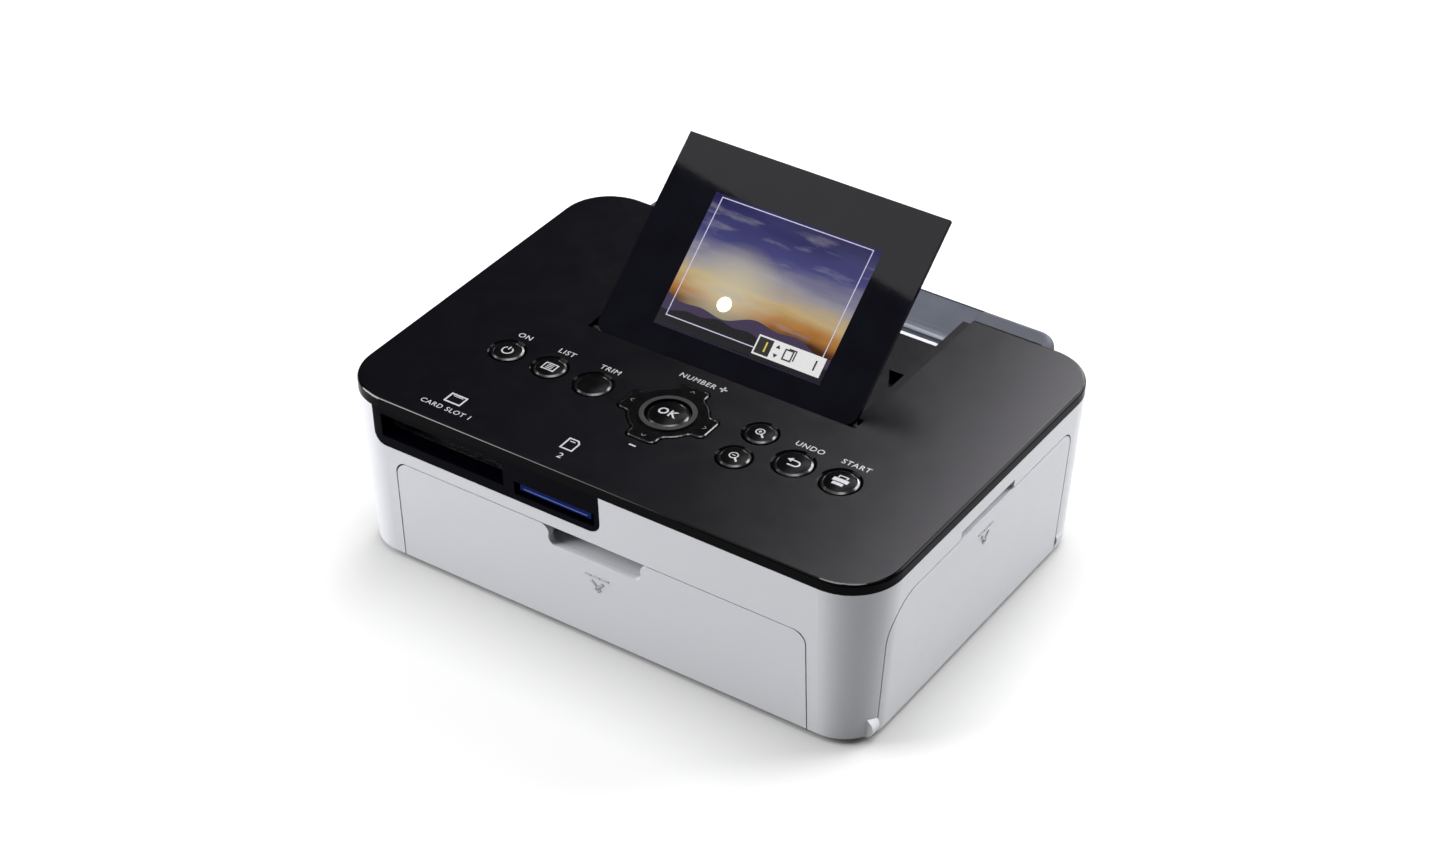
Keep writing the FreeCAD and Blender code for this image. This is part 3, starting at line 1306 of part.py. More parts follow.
def make_print_head():
    """Heat sink with fins, the heater strip under it, and the bridge with its guide pins"""
    body = block(wide("head_half_length"), ("head_front", "head_back"), ("head_bottom", "head_top"))
    guides = [("guide_pin_place", 1), ("guide_pin_place", -1)]
    bores = [rod("z", (signed(place, sign), "guide_pin_row"), ("0", "cover_height"),
                 "guide_pin_radius + running_gap") for place, sign in guides]
    fins_from = at("guide_pin_row") + at("guide_pin_radius") + at("fin_gap")
    count = int((at("head_back") - fins_from - at("fin_gap")) // at("fin_pitch")) + 1
    gaps = [block(wide("half_width"),
                  (f"guide_pin_row + guide_pin_radius + fin_gap + {number} * fin_pitch",
                   f"guide_pin_row + guide_pin_radius + 2 * fin_gap + {number} * fin_pitch"),
                  ("head_top - fin_depth", "head_top + overrun")) for number in range(count)]
    piece("heat_sink", cut(body, *bores, *gaps))
    piece("thermal_head", block(wide("head_half_length"),
                                ("head_place - heater_depth / 2", "head_place + heater_depth / 2"),
                                ("head_bottom - heater_height", "head_bottom")))
    bridge = block(("left_plate_inner", "right_plate"),
                   ("head_place - bridge_depth / 2", "head_place + bridge_depth / 2"),
                   ("bridge_bottom", "bridge_bottom + bridge_thickness"))
    pins = [rod("z", (signed(place, sign), "guide_pin_row"),
                ("head_bottom", "bridge_bottom + bridge_thickness"), "guide_pin_radius")
            for place, sign in guides]
    piece("head_bridge", join(bridge, *pins))


def make_ink_cassette():
    """Ink cassette: two slotted tubes on end bridges, spools, film rolls and the film between them"""
    tubes, hollows, journals = [], [], []
    for name in ("takeup", "supply"):
        tubes.append(rod("x", AXES[name], wide("cassette_half_length"), "tube_radius"))
        hollows.append(rod("x", AXES[name], wide("cassette_half_length - tube_wall"), "tube_radius - tube_wall"))
        journals.append(rod("x", AXES[name], wide("cassette_half_length + overrun"),
                            "spool_journal + running_gap"))
    bridges = [block(mirrored("cassette_half_length - cassette_bridge", "cassette_half_length", sign),
                     ("takeup_place", "supply_place"), ("cassette_bridge_bottom", "cassette_bridge_top"))
               for sign in (1, -1)]
    grip = block(("cassette_half_length - cassette_bridge", "cassette_half_length + grip_length"),
                 ("head_place - grip_width / 2", "head_place + grip_width / 2"),
                 ("cassette_bridge_bottom", "cassette_bridge_bottom + grip_thickness"))
    slots = [block(wide("cassette_half_length - cassette_bridge"),
                   ("takeup_place + film_slot", "takeup_place + tube_radius"), ("0", "spool_height")),
             block(wide("cassette_half_length - cassette_bridge"),
                   ("supply_place - tube_radius", "supply_place - film_slot"), ("0", "spool_height"))]
    piece("ink_cassette_shell", cut(join(*tubes, *bridges, grip), *hollows, *journals, *slots))
    spool_ends = {"takeup": "left_plate_inner + moving_gap", "supply": "left_plate - gear_plate_gap / 2"}
    for name, film_radius in (("takeup", "takeup_film_radius"), ("supply", "supply_film_radius")):
        core = rod("x", AXES[name], wide("cassette_half_length - tube_wall - moving_gap"), "spool_radius")
        journal = rod("x", AXES[name], (spool_ends[name], "cassette_half_length + shaft_overhang"),
                      "spool_journal" if name == "takeup" else "drive_shaft_radius")
        piece(f"{name}_spool", join(core, journal))
        piece(f"{name}_film", cut(rod("x", AXES[name], wide("head_half_length"), film_radius),
                                  rod("x", AXES[name], wide("half_width"), "spool_radius")))
    dog = rod("x", AXES["takeup"], ("gear_left", "left_plate_inner + moving_gap"), "drive_shaft_radius")
    piece("takeup_gear", join(gear_solid("takeup", at("drive_shaft_radius")), dog))
    make_film_web()


def film_touch(name, run_edge, side):
    """Place where the straight film meets a roll's inner side"""
    centre = Vector(0, at(AXES[name][0]), at(AXES[name][1]))
    start = Vector(0, run_edge, at("film_height"))
    line = centre - start
    radius = at(f"{name}_film_radius") + at("moving_gap")
    straight = Rotation(X_AXIS, -side * math.degrees(math.asin(radius / line.Length))).multVec(line)
    return start + straight.normalize() * math.sqrt(line.Length ** 2 - radius ** 2)


def make_film_web():
    """Thin film from one roll, level under the print head, and up to the other roll"""
    start, end = at("head_place") - at("film_run"), at("head_place") + at("film_run")
    path = [film_touch("takeup", start, 1), Vector(0, start, at("film_height")),
            Vector(0, end, at("film_height")), film_touch("supply", end, -1)]
    normals = [X_AXIS.cross(b - a).normalize() for a, b in zip(path, path[1:])]
    before, after = normals[:1] + normals, normals + normals[-1:]
    lifted = [point + (first + second) * (at("film_thickness") / (1 + first.dot(second)))
              for point, first, second in zip(path, before, after)]
    outline = Part.makePolygon(path + lifted[::-1] + path[:1])
    width = 2 * at("head_half_length")
    film = Part.Face(outline).extrude(Vector(width, 0, 0))
    film.translate(Vector(-width / 2, 0, 0))
    feature = doc.addObject("Part::Feature", "Film")
    feature.Shape = film
    piece("film_web", feature)


def make_feed_motor():
    """Feed motor on its bracket, with the pinion on its shaft"""
    upright = block(("bracket_left", "bracket_right"),
                    ("capstan_place - motor_bracket_front", "capstan_place + motor_bracket_back"),
                    ("floor_top", "pinion_height + motor_radius"))
    foot = block(("bracket_left - motor_bracket_foot", "bracket_right"),
                 ("capstan_place - motor_bracket_front",
                  "capstan_place - motor_bracket_front + motor_bracket_foot_width"),
                 ("floor_top", "floor_top + motor_bracket_thickness"))
    hole = rod("x", AXES["pinion"], ("bracket_left - overrun", "bracket_right + overrun"), "motor_boss_radius")
    shaft_hole = rod("x", AXES["capstan"], ("bracket_left - overrun", "bracket_right + overrun"),
                     "capstan_shaft_radius + moving_gap")
    piece("motor_bracket", cut(join(upright, foot), hole, shaft_hole))
    can = rod("x", AXES["pinion"], ("bracket_left - motor_length", "bracket_left"), "motor_radius")
    boss = rod("x", AXES["pinion"], ("bracket_left - motor_length", "bracket_right"), "motor_boss_radius")
    bore = rod("x", AXES["pinion"], ("bracket_left - motor_length + plate_thickness", "bracket_right + overrun"),
               "motor_shaft_radius + running_gap")
    piece("feed_motor", cut(join(can, boss), bore))
    shaft = rod("x", AXES["pinion"], ("bracket_left - motor_length + 2 * plate_thickness", "gear_right"),
                "motor_shaft_radius")
    piece("motor_pinion", join(gear_solid("pinion", at("motor_shaft_radius")), shaft))


make_case_shell()
make_base_tray()
make_fasteners_and_feet()
make_front_door()
make_ink_door()
make_card_bezel()
make_top_cover()
make_rear_hood()
make_screen()
make_buttons()
make_key_board()
make_card_reader()
make_side_sockets()
make_chassis()
make_paper_path()
make_print_head()
make_gears()
make_ink_cassette()
make_feed_motor()
doc.recompute()


def check_and_write():
    """Refuse any failed object or bad shape, then write every piece"""
    failed = [item.Label for item in doc.Objects if {"Invalid", "Error"} & set(item.State)]
    if failed:
        raise RuntimeError(f"failed objects: {failed}")
    for item in PIECES:
        if item.Shape.isNull() or not item.Shape.isValid() or not item.Shape.Solids:
            raise RuntimeError(f"bad shape: {item.Label}")
    os.makedirs("parts", exist_ok=True)
    for item in PIECES:
        item.Shape.exportStep(f"parts/{item.Label}.step")
        print(item.Label, len(item.Shape.Solids), "solid(s)", round(item.Shape.Volume, 1), "mm3")


check_and_write()
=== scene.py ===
"""Looks of the compact photo printer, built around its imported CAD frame."""
import functools
import json
import math

import bmesh
import bpy
from mathutils import Matrix, Vector
from mathutils.bvhtree import BVHTree


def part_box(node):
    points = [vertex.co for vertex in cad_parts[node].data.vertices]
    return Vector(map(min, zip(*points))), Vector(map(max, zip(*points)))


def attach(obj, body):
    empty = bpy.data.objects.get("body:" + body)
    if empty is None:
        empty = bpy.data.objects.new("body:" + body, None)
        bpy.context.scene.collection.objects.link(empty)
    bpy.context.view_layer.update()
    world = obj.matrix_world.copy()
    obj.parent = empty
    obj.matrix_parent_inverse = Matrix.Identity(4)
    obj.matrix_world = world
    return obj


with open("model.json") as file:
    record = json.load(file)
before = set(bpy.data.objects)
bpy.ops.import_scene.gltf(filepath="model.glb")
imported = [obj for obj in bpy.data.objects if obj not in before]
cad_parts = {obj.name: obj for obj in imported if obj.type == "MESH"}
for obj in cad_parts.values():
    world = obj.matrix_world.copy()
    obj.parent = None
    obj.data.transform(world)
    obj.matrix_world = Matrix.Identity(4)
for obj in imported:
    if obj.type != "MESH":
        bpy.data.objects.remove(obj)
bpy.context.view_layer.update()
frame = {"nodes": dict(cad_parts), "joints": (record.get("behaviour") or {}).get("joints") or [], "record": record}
NODES = frame["nodes"]
RECORD = frame["record"]
SLOT_OF = {part["node"]: part["material_slot"] for part in RECORD["subparts"]}
BODY_OF = {node: body for body, nodes in RECORD["behaviour"]["bodies"].items() for node in nodes}
JOINTS = {joint["name"]: joint for joint in frame["joints"]}

# Lengths are written in millimetres and scaled by this
MM = 0.001

# Height of the plate that holds the keys, and of the level faces that lie sunk in the well behind it
MIDDLE_KEY_RISE = 0.6 * MM
PLATE_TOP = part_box("ok_button")[1].z - MIDDLE_KEY_RISE
WELL_TOP = PLATE_TOP - 0.5 * MM

# Half-width and front of the part of the plate that holds the keys
PLATE_INSIDE = 76 * MM
PLATE_FRONT = -62 * MM

# Streaks at the hood's foot fade out between these places
HOOD_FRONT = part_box("rear_hood")[0].y
STREAKS_START = HOOD_FRONT + 0.5 * MM
STREAKS_END = HOOD_FRONT + 4.5 * MM

# The screen's hinge, its tilt at rest, the way its face looks and how far the face lies over the hinge
HINGE = Vector(JOINTS["screen_tilt"]["pos_m"])
TILT = math.radians(-JOINTS["screen_tilt"]["range_deg"][0])
PANEL_OUT = Vector((0, -math.sin(TILT), math.cos(TILT)))
PANEL_FACE = 2.7 * MM

# The sky on the display: its height over the hinge, and the middle and reach of its glow
SKY_BOTTOM = 12 * MM
SKY_TOP = 50 * MM
GLOW_ACROSS = -9 * MM
GLOW_ALONG = 22 * MM
GLOW_REACH = 17 * MM


# Materials: every one is a node tree with its own grain, gloss and colour variation


class Finish:
    """Builder of one procedural material"""

    def __init__(self, name):
        self.material = bpy.data.materials.new(name)
        self.material.use_nodes = True
        self.tree = self.material.node_tree
        self.tree.nodes.clear()
        self.shader = self.node("ShaderNodeBsdfPrincipled")
        output = self.node("ShaderNodeOutputMaterial")
        self.put(self.shader.outputs["BSDF"], output.inputs["Surface"])
        coordinates = self.node("ShaderNodeTexCoord")
        self.place = coordinates.outputs["Object"]
        self.normal = coordinates.outputs["Normal"]

    def node(self, kind, **settings):
        """New node with its settings"""
        made = self.tree.nodes.new(kind)
        for name, value in settings.items():
            setattr(made, name, value)
        return made

    def put(self, value, socket):
        """Gives a socket its value: another socket, a colour of three numbers or one number"""
        if isinstance(value, bpy.types.NodeSocket):
            self.tree.links.new(value, socket)
        elif isinstance(value, tuple):
            socket.default_value = (*value, 1)
        else:
            socket.default_value = value

    def set(self, **values):
        """Gives inputs of the shader their values"""
        for name, value in values.items():
            self.put(value, self.shader.inputs[name.replace("_", " ")])

    def axes(self, vector):
        """A vector's numbers, by the names X, Y and Z"""
        split = self.node("ShaderNodeSeparateXYZ")
        self.put(vector, split.inputs["Vector"])
        return split.outputs

    def noise(self, size, detail=3.0, stretch=(1, 1, 1)):
        """Noise whose features are about size millimetres across"""
        mapping = self.node("ShaderNodeMapping")
        mapping.inputs["Scale"].default_value = stretch
        self.put(self.place, mapping.inputs["Vector"])
        noise = self.node("ShaderNodeTexNoise")
        noise.inputs["Scale"].default_value = 1 / (size * MM)
        noise.inputs["Detail"].default_value = detail
        self.put(mapping.outputs["Vector"], noise.inputs["Vector"])
        return noise.outputs["Fac"]

    def ramp(self, factor, stops):
        """Colours along a factor from pairs of place and colour"""
        ramp = self.node("ShaderNodeValToRGB")
        elements = ramp.color_ramp.elements
        while len(elements) < len(stops):
            elements.new(0.5)
        for element, (place, colour) in zip(elements, stops):
            element.position = place
            element.color = (*colour, 1)
        self.put(factor, ramp.inputs["Fac"])
        return ramp.outputs["Color"]

    def tint(self, factor, first, second, start=0.3, end=0.7):
        """Colour that runs from one to another along a factor"""
        return self.ramp(factor, [(start, first), (end, second)])

    def span(self, factor, low, high, start=0.3, end=0.7):
        """A factor mapped to a range of values"""
        mapped = self.node("ShaderNodeMapRange")
        mapped.inputs["From Min"].default_value = start
        mapped.inputs["From Max"].default_value = end
        mapped.inputs["To Min"].default_value = low
        mapped.inputs["To Max"].default_value = high
        self.put(factor, mapped.inputs["Value"])
        return mapped.outputs["Result"]

    def math(self, operation, first, second=0.0):
        """One sum of sockets or numbers"""
        made = self.node("ShaderNodeMath", operation=operation)
        self.put(first, made.inputs[0])
        self.put(second, made.inputs[1])
        return made.outputs["Value"]

    def over(self, value, limit):
        """One where a value is greater than a limit, else nought"""
        return self.math("GREATER_THAN", value, limit)

    def under(self, value, limit):
        """One where a value is less than a limit, else nought"""
        return self.math("LESS_THAN", value, limit)

    def both(self, first, second):
        """One where both tests are one, else nought"""
        return self.math("MULTIPLY", first, second)

    def pick(self, test, failed, passed):
        """The first number where a test is nought, the second where it is one"""
        made = self.node("ShaderNodeMix", data_type="FLOAT")
        self.put(test, made.inputs["Factor"])
        self.put(failed, made.inputs["A"])
        self.put(passed, made.inputs["B"])
        return made.outputs["Result"]

    def mix(self, factor, first, second):
        """Blend of two colours, each a socket or three numbers"""
        made = self.node("ShaderNodeMix", data_type="RGBA")
        colours = [socket for socket in made.inputs if socket.type == "RGBA"]
        self.put(factor, made.inputs["Factor"])
        for socket, value in zip(colours, (first, second)):
            self.put(value, socket)
        return next(socket for socket in made.outputs if socket.type == "RGBA")

    def bump(self, height, depth, strength=1.0):
        """Surface relief depth millimetres deep"""
        made = self.node("ShaderNodeBump")
        made.inputs["Distance"].default_value = depth * MM
        made.inputs["Strength"].default_value = strength
        self.put(height, made.inputs["Height"])
        self.set(Normal=made.outputs["Normal"])


def shaded(colour, share):
    """A colour made lighter or darker by a share"""
    return tuple(min(1.0, channel * share) for channel in colour)


def moulded(name, colour, rough, grain=0.5, relief=0.01, specular=0.5):
    """Moulded plastic or rubber, with the width and depth of its grain in millimetres"""
    finish = Finish(name)
    finish.set(Base_Color=finish.tint(finish.noise(18, 2), shaded(colour, 0.93), shaded(colour, 1.05)),
               Roughness=finish.span(finish.noise(4), rough * 0.9, rough * 1.12),
               Specular_IOR_Level=specular)
    finish.bump(finish.noise(grain, 4), relief)
    return finish.material


def brushed(name, colour, rough, stretch=(0.02, 1, 1)):
    """Rolled or turned metal with fine lines along the axis that is stretched"""
    finish = Finish(name)
    lines = finish.noise(0.35, 2, stretch)
    finish.set(Base_Color=finish.tint(lines, shaded(colour, 0.82), shaded(colour, 1.08), 0.35, 0.65),
               Roughness=finish.span(lines, rough * 0.75, rough * 1.25),
               Metallic=1.0)
    finish.bump(lines, 0.006)
    return finish.material


def silver_case(name, colour, rough):
    """Light silver-white lacquer with a fine pearl grain under a clear coat"""
    finish = Finish(name)
    finish.set(Base_Color=finish.tint(finish.noise(0.12, 2), shaded(colour, 0.94), shaded(colour, 1.04)),
               Roughness=finish.span(finish.noise(9), rough * 0.92, rough * 1.1),
               Specular_IOR_Level=0.2, Coat_Weight=0.05, Coat_Roughness=0.2)
    finish.bump(finish.noise(0.25, 3), 0.004)
    return finish.material


def cover_plate(name):
    """Black cover: satin on top, duller in the well, glossy at its edges, with light along the front one"""
    finish = Finish(name)
    normal, place = finish.axes(finish.normal), finish.axes(finish.place)
    level = finish.over(normal["Z"], 0.98)
    flake = finish.tint(finish.noise(0.1, 2), (0.0006, 0.0005, 0.0009), (0.0014, 0.0012, 0.0020), 0.35, 0.75)
    satin = finish.span(finish.noise(6), 0.19, 0.22)
    polished = finish.math("MULTIPLY", satin, 0.25)
    finish.set(Base_Color=finish.mix(level, (0.001, 0.001, 0.001), flake),
               Roughness=finish.pick(level, polished, satin))
    well = finish.under(place["Z"], WELL_TOP)
    near_keys = finish.both(finish.under(finish.math("ABSOLUTE", place["X"]), PLATE_INSIDE),
                            finish.over(place["Y"], PLATE_FRONT))
    rounded = finish.both(finish.over(normal["Z"], 0.3), finish.under(normal["Y"], -0.25))
    front_edge = finish.both(rounded, finish.under(place["Y"], PLATE_FRONT))
    edges = finish.math("ADD", finish.pick(near_keys, 0.03, 0.015), finish.math("MULTIPLY", front_edge, 0.25))
    finish.set(Specular_IOR_Level=finish.pick(level, edges, finish.pick(well, 0.2, 0.14)))
    finish.bump(finish.noise(0.3, 3), 0.0015)
    return finish.material


def glossy_black(name, colour, rough, specular):
    """Polished black with a faint cloud in its colour and gloss"""
    finish = Finish(name)
    finish.set(Base_Color=finish.tint(finish.noise(12), shaded(colour, 0.8), shaded(colour, 1.3)),
               Roughness=finish.span(finish.noise(2.5), rough * 0.8, rough * 1.3),
               Specular_IOR_Level=specular)
    finish.bump(finish.noise(1.6, 2), 0.0006)
    return finish.material


def panel_black(name):
    """Polished black screen face with dull black edges"""
    finish = Finish(name)
    outward = finish.node("ShaderNodeVectorMath", operation="DOT_PRODUCT")
    finish.put(finish.normal, outward.inputs[0])
    outward.inputs[1].default_value = PANEL_OUT
    face = finish.over(outward.outputs["Value"], 0.9)
    finish.set(Base_Color=finish.tint(finish.noise(12), (0.0015, 0.0015, 0.0024), (0.0023, 0.0023, 0.0039)),
               Roughness=finish.span(finish.noise(2.5), 0.02, 0.033),
               Specular_IOR_Level=finish.pick(face, 0.01, 0.5))
    finish.bump(finish.noise(1.6, 2), 0.0006)
    return finish.material


def hood_plastic(name):
    """Blue-grey hood in two tones set by the way each face looks: faces that look forward take a lighter ramp
    colour and all others a dark bar colour, partly a two-tone moulding and partly painted shade; streaks along the
    ramp's foot
    """
    finish = Finish(name)
    cloud = finish.noise(7)
    ramp = finish.tint(cloud, (0.078, 0.084, 0.102), (0.088, 0.094, 0.115))
    bar = finish.tint(cloud, (0.030, 0.032, 0.040), (0.035, 0.037, 0.046))
    # Faces that don't look forward get the darker bar colour: partly two-tone plastic, partly painted shade on the
    # sides turned from the light
    body = finish.mix(finish.under(finish.axes(finish.normal)["Y"], -0.3), bar, ramp)
    lines = finish.noise(1.1, 3, (0.04, 1, 1))
    streaks = finish.tint(lines, (0.070, 0.076, 0.092), (0.19, 0.20, 0.235), 0.35, 0.62)
    foot = finish.span(finish.axes(finish.place)["Y"], 1.0, 0.0, STREAKS_START, STREAKS_END)
    finish.set(Base_Color=finish.mix(foot, body, streaks),
               Roughness=finish.span(finish.noise(3), 0.46, 0.54),
               Specular_IOR_Level=0.04)
    finish.bump(finish.noise(0.4, 3), 0.006)
    return finish.material


def circuit_board(name):
    """Green board with lighter runs in a brick pattern"""
    finish = Finish(name)
    runs = finish.node("ShaderNodeTexBrick", offset=0.5)
    runs.inputs["Scale"].default_value = 60
    runs.inputs["Mortar Size"].default_value = 0.06
    finish.put(finish.place, runs.inputs["Vector"])
    finish.set(Base_Color=finish.mix(runs.outputs["Fac"], (0.012, 0.12, 0.045), (0.03, 0.24, 0.09)),
               Roughness=finish.span(finish.noise(2), 0.28, 0.4))
    finish.bump(runs.outputs["Fac"], 0.03, 0.4)
    return finish.material


def film_band(name):
    """Thin dye film in broad bands of yellow, magenta and cyan"""
    finish = Finish(name)
    wave = finish.node("ShaderNodeTexWave", bands_direction="Z")
    wave.inputs["Scale"].default_value = 22
    wave.inputs["Distortion"].default_value = 0.4
    finish.put(finish.place, wave.inputs["Vector"])
    dye = finish.ramp(wave.outputs["Fac"], [(0.15, (0.55, 0.42, 0.04)), (0.45, (0.40, 0.03, 0.16)),
                                            (0.8, (0.02, 0.18, 0.36))])
    finish.set(Base_Color=dye, Roughness=finish.span(finish.noise(3), 0.12, 0.2),
               Coat_Weight=0.3, Coat_Roughness=0.05)
    return finish.material


def display_glass(name):
    """Dark display under its window"""
    finish = Finish(name)
    dots = finish.node("ShaderNodeTexVoronoi")
    dots.inputs["Scale"].default_value = 4000
    finish.put(finish.place, dots.inputs["Vector"])
    tint = finish.tint(dots.outputs["Distance"], (0.004, 0.004, 0.008), (0.012, 0.012, 0.02), 0.1, 0.8)
    finish.set(Base_Color=tint, Roughness=finish.span(finish.noise(5), 0.04, 0.07))
    return finish.material


def ink(name, colour, glow=0.0, specular=0.3):
    """Printed or lit mark with slightly uneven cover"""
    finish = Finish(name)
    tint = finish.tint(finish.noise(0.5), shaded(colour, 0.9), shaded(colour, 1.05))
    finish.set(Base_Color=tint, Roughness=finish.span(finish.noise(1), 0.35, 0.5),
               Specular_IOR_Level=specular)
    if glow:
        finish.set(Emission_Color=tint, Emission_Strength=glow)
    return finish.material


def evening_sky(name):
    """Picture on the display: an evening sky that pales round a low glow"""
    finish = Finish(name)
    place = finish.axes(finish.place)
    drift = finish.span(finish.noise(9, 4, (0.35, 1.6, 1)), -0.07, 0.07, 0.2, 0.8)
    height = finish.math("ADD", finish.span(place["Y"], 0.0, 1.0, SKY_BOTTOM, SKY_TOP), drift)
    sky = finish.ramp(height, [(0.0, (0.006, 0.004, 0.008)), (0.1, (0.10, 0.035, 0.02)),
                               (0.2, (0.62, 0.27, 0.07)), (0.32, (0.80, 0.60, 0.30)),
                               (0.48, (0.44, 0.42, 0.50)), (0.68, (0.10, 0.10, 0.30)),
                               (1.0, (0.022, 0.018, 0.11))])
    aside = finish.math("SUBTRACT", place["X"], GLOW_ACROSS)
    above = finish.math("SUBTRACT", place["Y"], GLOW_ALONG)
    squares = finish.math("ADD", finish.math("MULTIPLY", aside, aside), finish.math("MULTIPLY", above, above))
    halo = finish.span(finish.math("SQRT", squares), 0.85, 0.0, 0.0, GLOW_REACH)
    lit = finish.mix(halo, sky, (0.95, 0.86, 0.60))
    wisps = finish.span(finish.noise(5, 5, (0.3, 1.5, 1)), 0.0, 0.55, 0.55, 0.8)
    finish.set(Base_Color=(0, 0, 0), Roughness=0.05, Specular_IOR_Level=0.3,
               Emission_Color=finish.mix(wisps, lit, (0.62, 0.58, 0.66)), Emission_Strength=0.62)
    return finish.material


# Finish of each material slot: the function that makes it, and its colour, roughness and grain
SLOT_FINISHES = {
    "case_white": (silver_case, (0.375, 0.38, 0.40), 0.38),
    "door_white": (silver_case, (0.37, 0.376, 0.397), 0.4),
    "base_grey": (moulded, (0.42, 0.43, 0.45), 0.5, 0.8, 0.03),
    "cover_black": (cover_plate,),
    "screen_black": (panel_black,),
    "hood_grey": (hood_plastic,),
    "bezel_black": (glossy_black, (0.0006, 0.0006, 0.0018), 0.12, 0.02),
    "button_black": (glossy_black, (0.001, 0.001, 0.0011), 0.22, 0.03),
    "display": (display_glass,),
    "pin_steel": (brushed, (0.62, 0.62, 0.64), 0.25, (1, 1, 0.02)),
    "plate_steel": (brushed, (0.60, 0.61, 0.62), 0.32, (1, 0.02, 1)),
    "rubber_dark": (moulded, (0.030, 0.030, 0.032), 0.75, 0.6, 0.04),
    "mat_rubber": (moulded, (0.30, 0.31, 0.33), 0.6, 0.5, 0.02),
    "board_green": (circuit_board,),
    "socket_steel": (brushed, (0.55, 0.55, 0.56), 0.28),
    "card_blue": (moulded, (0.002, 0.007, 0.055), 0.3, 0.4, 0.006, 0.03),
    "port_black": (moulded, (0.014, 0.014, 0.016), 0.4, 0.4, 0.01),
    "guide_black": (moulded, (0.020, 0.020, 0.022), 0.45, 0.7, 0.02),
    "roller_rubber": (moulded, (0.045, 0.045, 0.05), 0.7, 0.35, 0.03),
    "sink_aluminium": (brushed, (0.78, 0.79, 0.80), 0.3),
    "head_ceramic": (moulded, (0.62, 0.58, 0.50), 0.35, 0.3, 0.01),
    "gear_white": (moulded, (0.72, 0.71, 0.66), 0.42, 0.5, 0.01),
    "cassette_grey": (moulded, (0.10, 0.11, 0.13), 0.42, 0.6, 0.02),
    "film_dye": (film_band,),
}

# Nodes that differ from the rest of their slot
NODE_FINISHES = {
    "screen_pins": brushed("pin_blackened", (0.02, 0.02, 0.021), 0.5),
    "screen_back": moulded("screen_back_satin", (0.002, 0.002, 0.0023), 0.5, 0.5, 0.008, 0.05),
}

INK = ink("print_white", (0.17, 0.17, 0.18))
DIM_INK = ink("print_grey", (0.035, 0.035, 0.038))
RIM_GLOSS = glossy_black("rim_gloss", (0.001, 0.001, 0.001), 0.2, 0.4)
# Grey of the flat ring round the middle key: painted sheen standing in for the light that its raised collar
# catches
COLLAR_PAINTED_SHEEN = moulded("collar_painted_sheen", (0.007, 0.007, 0.008), 0.3, 0.3, 0.002, 0.3)
RELIEF_SHADE = silver_case("relief_shade", (0.25, 0.255, 0.27), 0.4)
# Lighter blue of the card's ridges and front line: painted highlight along the card's edge
CARD_HIGHLIGHT_PAINT = moulded("card_highlight_paint", (0.08, 0.12, 0.36), 0.25, 0.4, 0.004, 0.1)
# Near black of the screws' crosses: painted shade in their recesses
RECESS_PAINTED_SHADE = moulded("recess_painted_shade", (0.02, 0.02, 0.02), 0.5)


def dress_nodes():
    """Gives every CAD node its finish"""
    finishes = {slot: make(slot, *values) for slot, (make, *values) in SLOT_FINISHES.items()}
    for name, node in NODES.items():
        node.data.materials.clear()
        node.data.materials.append(NODE_FINISHES.get(name, finishes[SLOT_OF[name]]))


# Flat shapes, drawn in millimetres on a plane of their own, as points and faces

# The longest stretch of a line, and the least cosine of half a corner's turn, which keeps mitres short
LONGEST_STRETCH = 0.8
MITRE_LIMIT = 0.5

# Height of a capital letter as a share of Blender's own font size
CAPITAL_SHARE = 0.73


def arc(centre, radius, start, end, steps=24):
    """Points along a circle between two angles in degrees"""
    x, y = centre
    angles = [math.radians(start + (end - start) * step / steps) for step in range(steps + 1)]
    return [(x + radius * math.cos(angle), y + radius * math.sin(angle)) for angle in angles]


def rectangle(left, right, low, high):
    """Corners of a rectangle, anticlockwise"""
    return [(left, low), (right, low), (right, high), (left, high)]


def divided(points, closed):
    """The same line with no long stretch"""
    ends = points[1:] + points[:1] if closed else points[1:]
    line = []
    for (x, y), (end_x, end_y) in zip(points, ends):
        across, along = end_x - x, end_y - y
        pieces = max(1, math.ceil(math.hypot(across, along) / LONGEST_STRETCH))
        line += [(x + across * step / pieces, y + along * step / pieces) for step in range(pieces)]
    return line if closed else line + [points[-1]]


def stroke(points, width, closed=False):
    """Flat band of even width along a line"""
    line = divided(points, closed)
    count = len(line)
    band = []
    for index, (x, y) in enumerate(line):
        before = line[index - 1] if closed or index else (x, y)
        after = line[(index + 1) % count] if closed or index < count - 1 else (x, y)
        back, ahead = Vector((x - before[0], y - before[1])), Vector((after[0] - x, after[1] - y))
        arriving = back.normalized() if back.length else ahead.normalized()
        leaving = ahead.normalized() if ahead.length else arriving
        onward = (arriving + leaving).normalized()
        aside = Vector((-onward.y, onward.x))
        reach = width / 2 / max(MITRE_LIMIT, aside.dot(Vector((-arriving.y, arriving.x))))
        band += [(x + aside.x * reach, y + aside.y * reach), (x - aside.x * reach, y - aside.y * reach)]
    faces = []
    for index in range(count if closed else count - 1):
        after = (index + 1) % count
        faces.append((2 * index + 1, 2 * after + 1, 2 * after, 2 * index))
    return band, faces


def bar(reach, along, width):
    """Level band that reaches equally far to both sides"""
    return stroke([(-reach, along), (reach, along)], width)


def cross(reach, width):
    """Two crossed bands of the same length"""
    return joined(bar(reach, 0, width), stroke([(0, -reach), (0, reach)], width))


def fill(points):
    """Flat area inside a line of points that runs anticlockwise"""
    return points, [tuple(range(len(points)))]


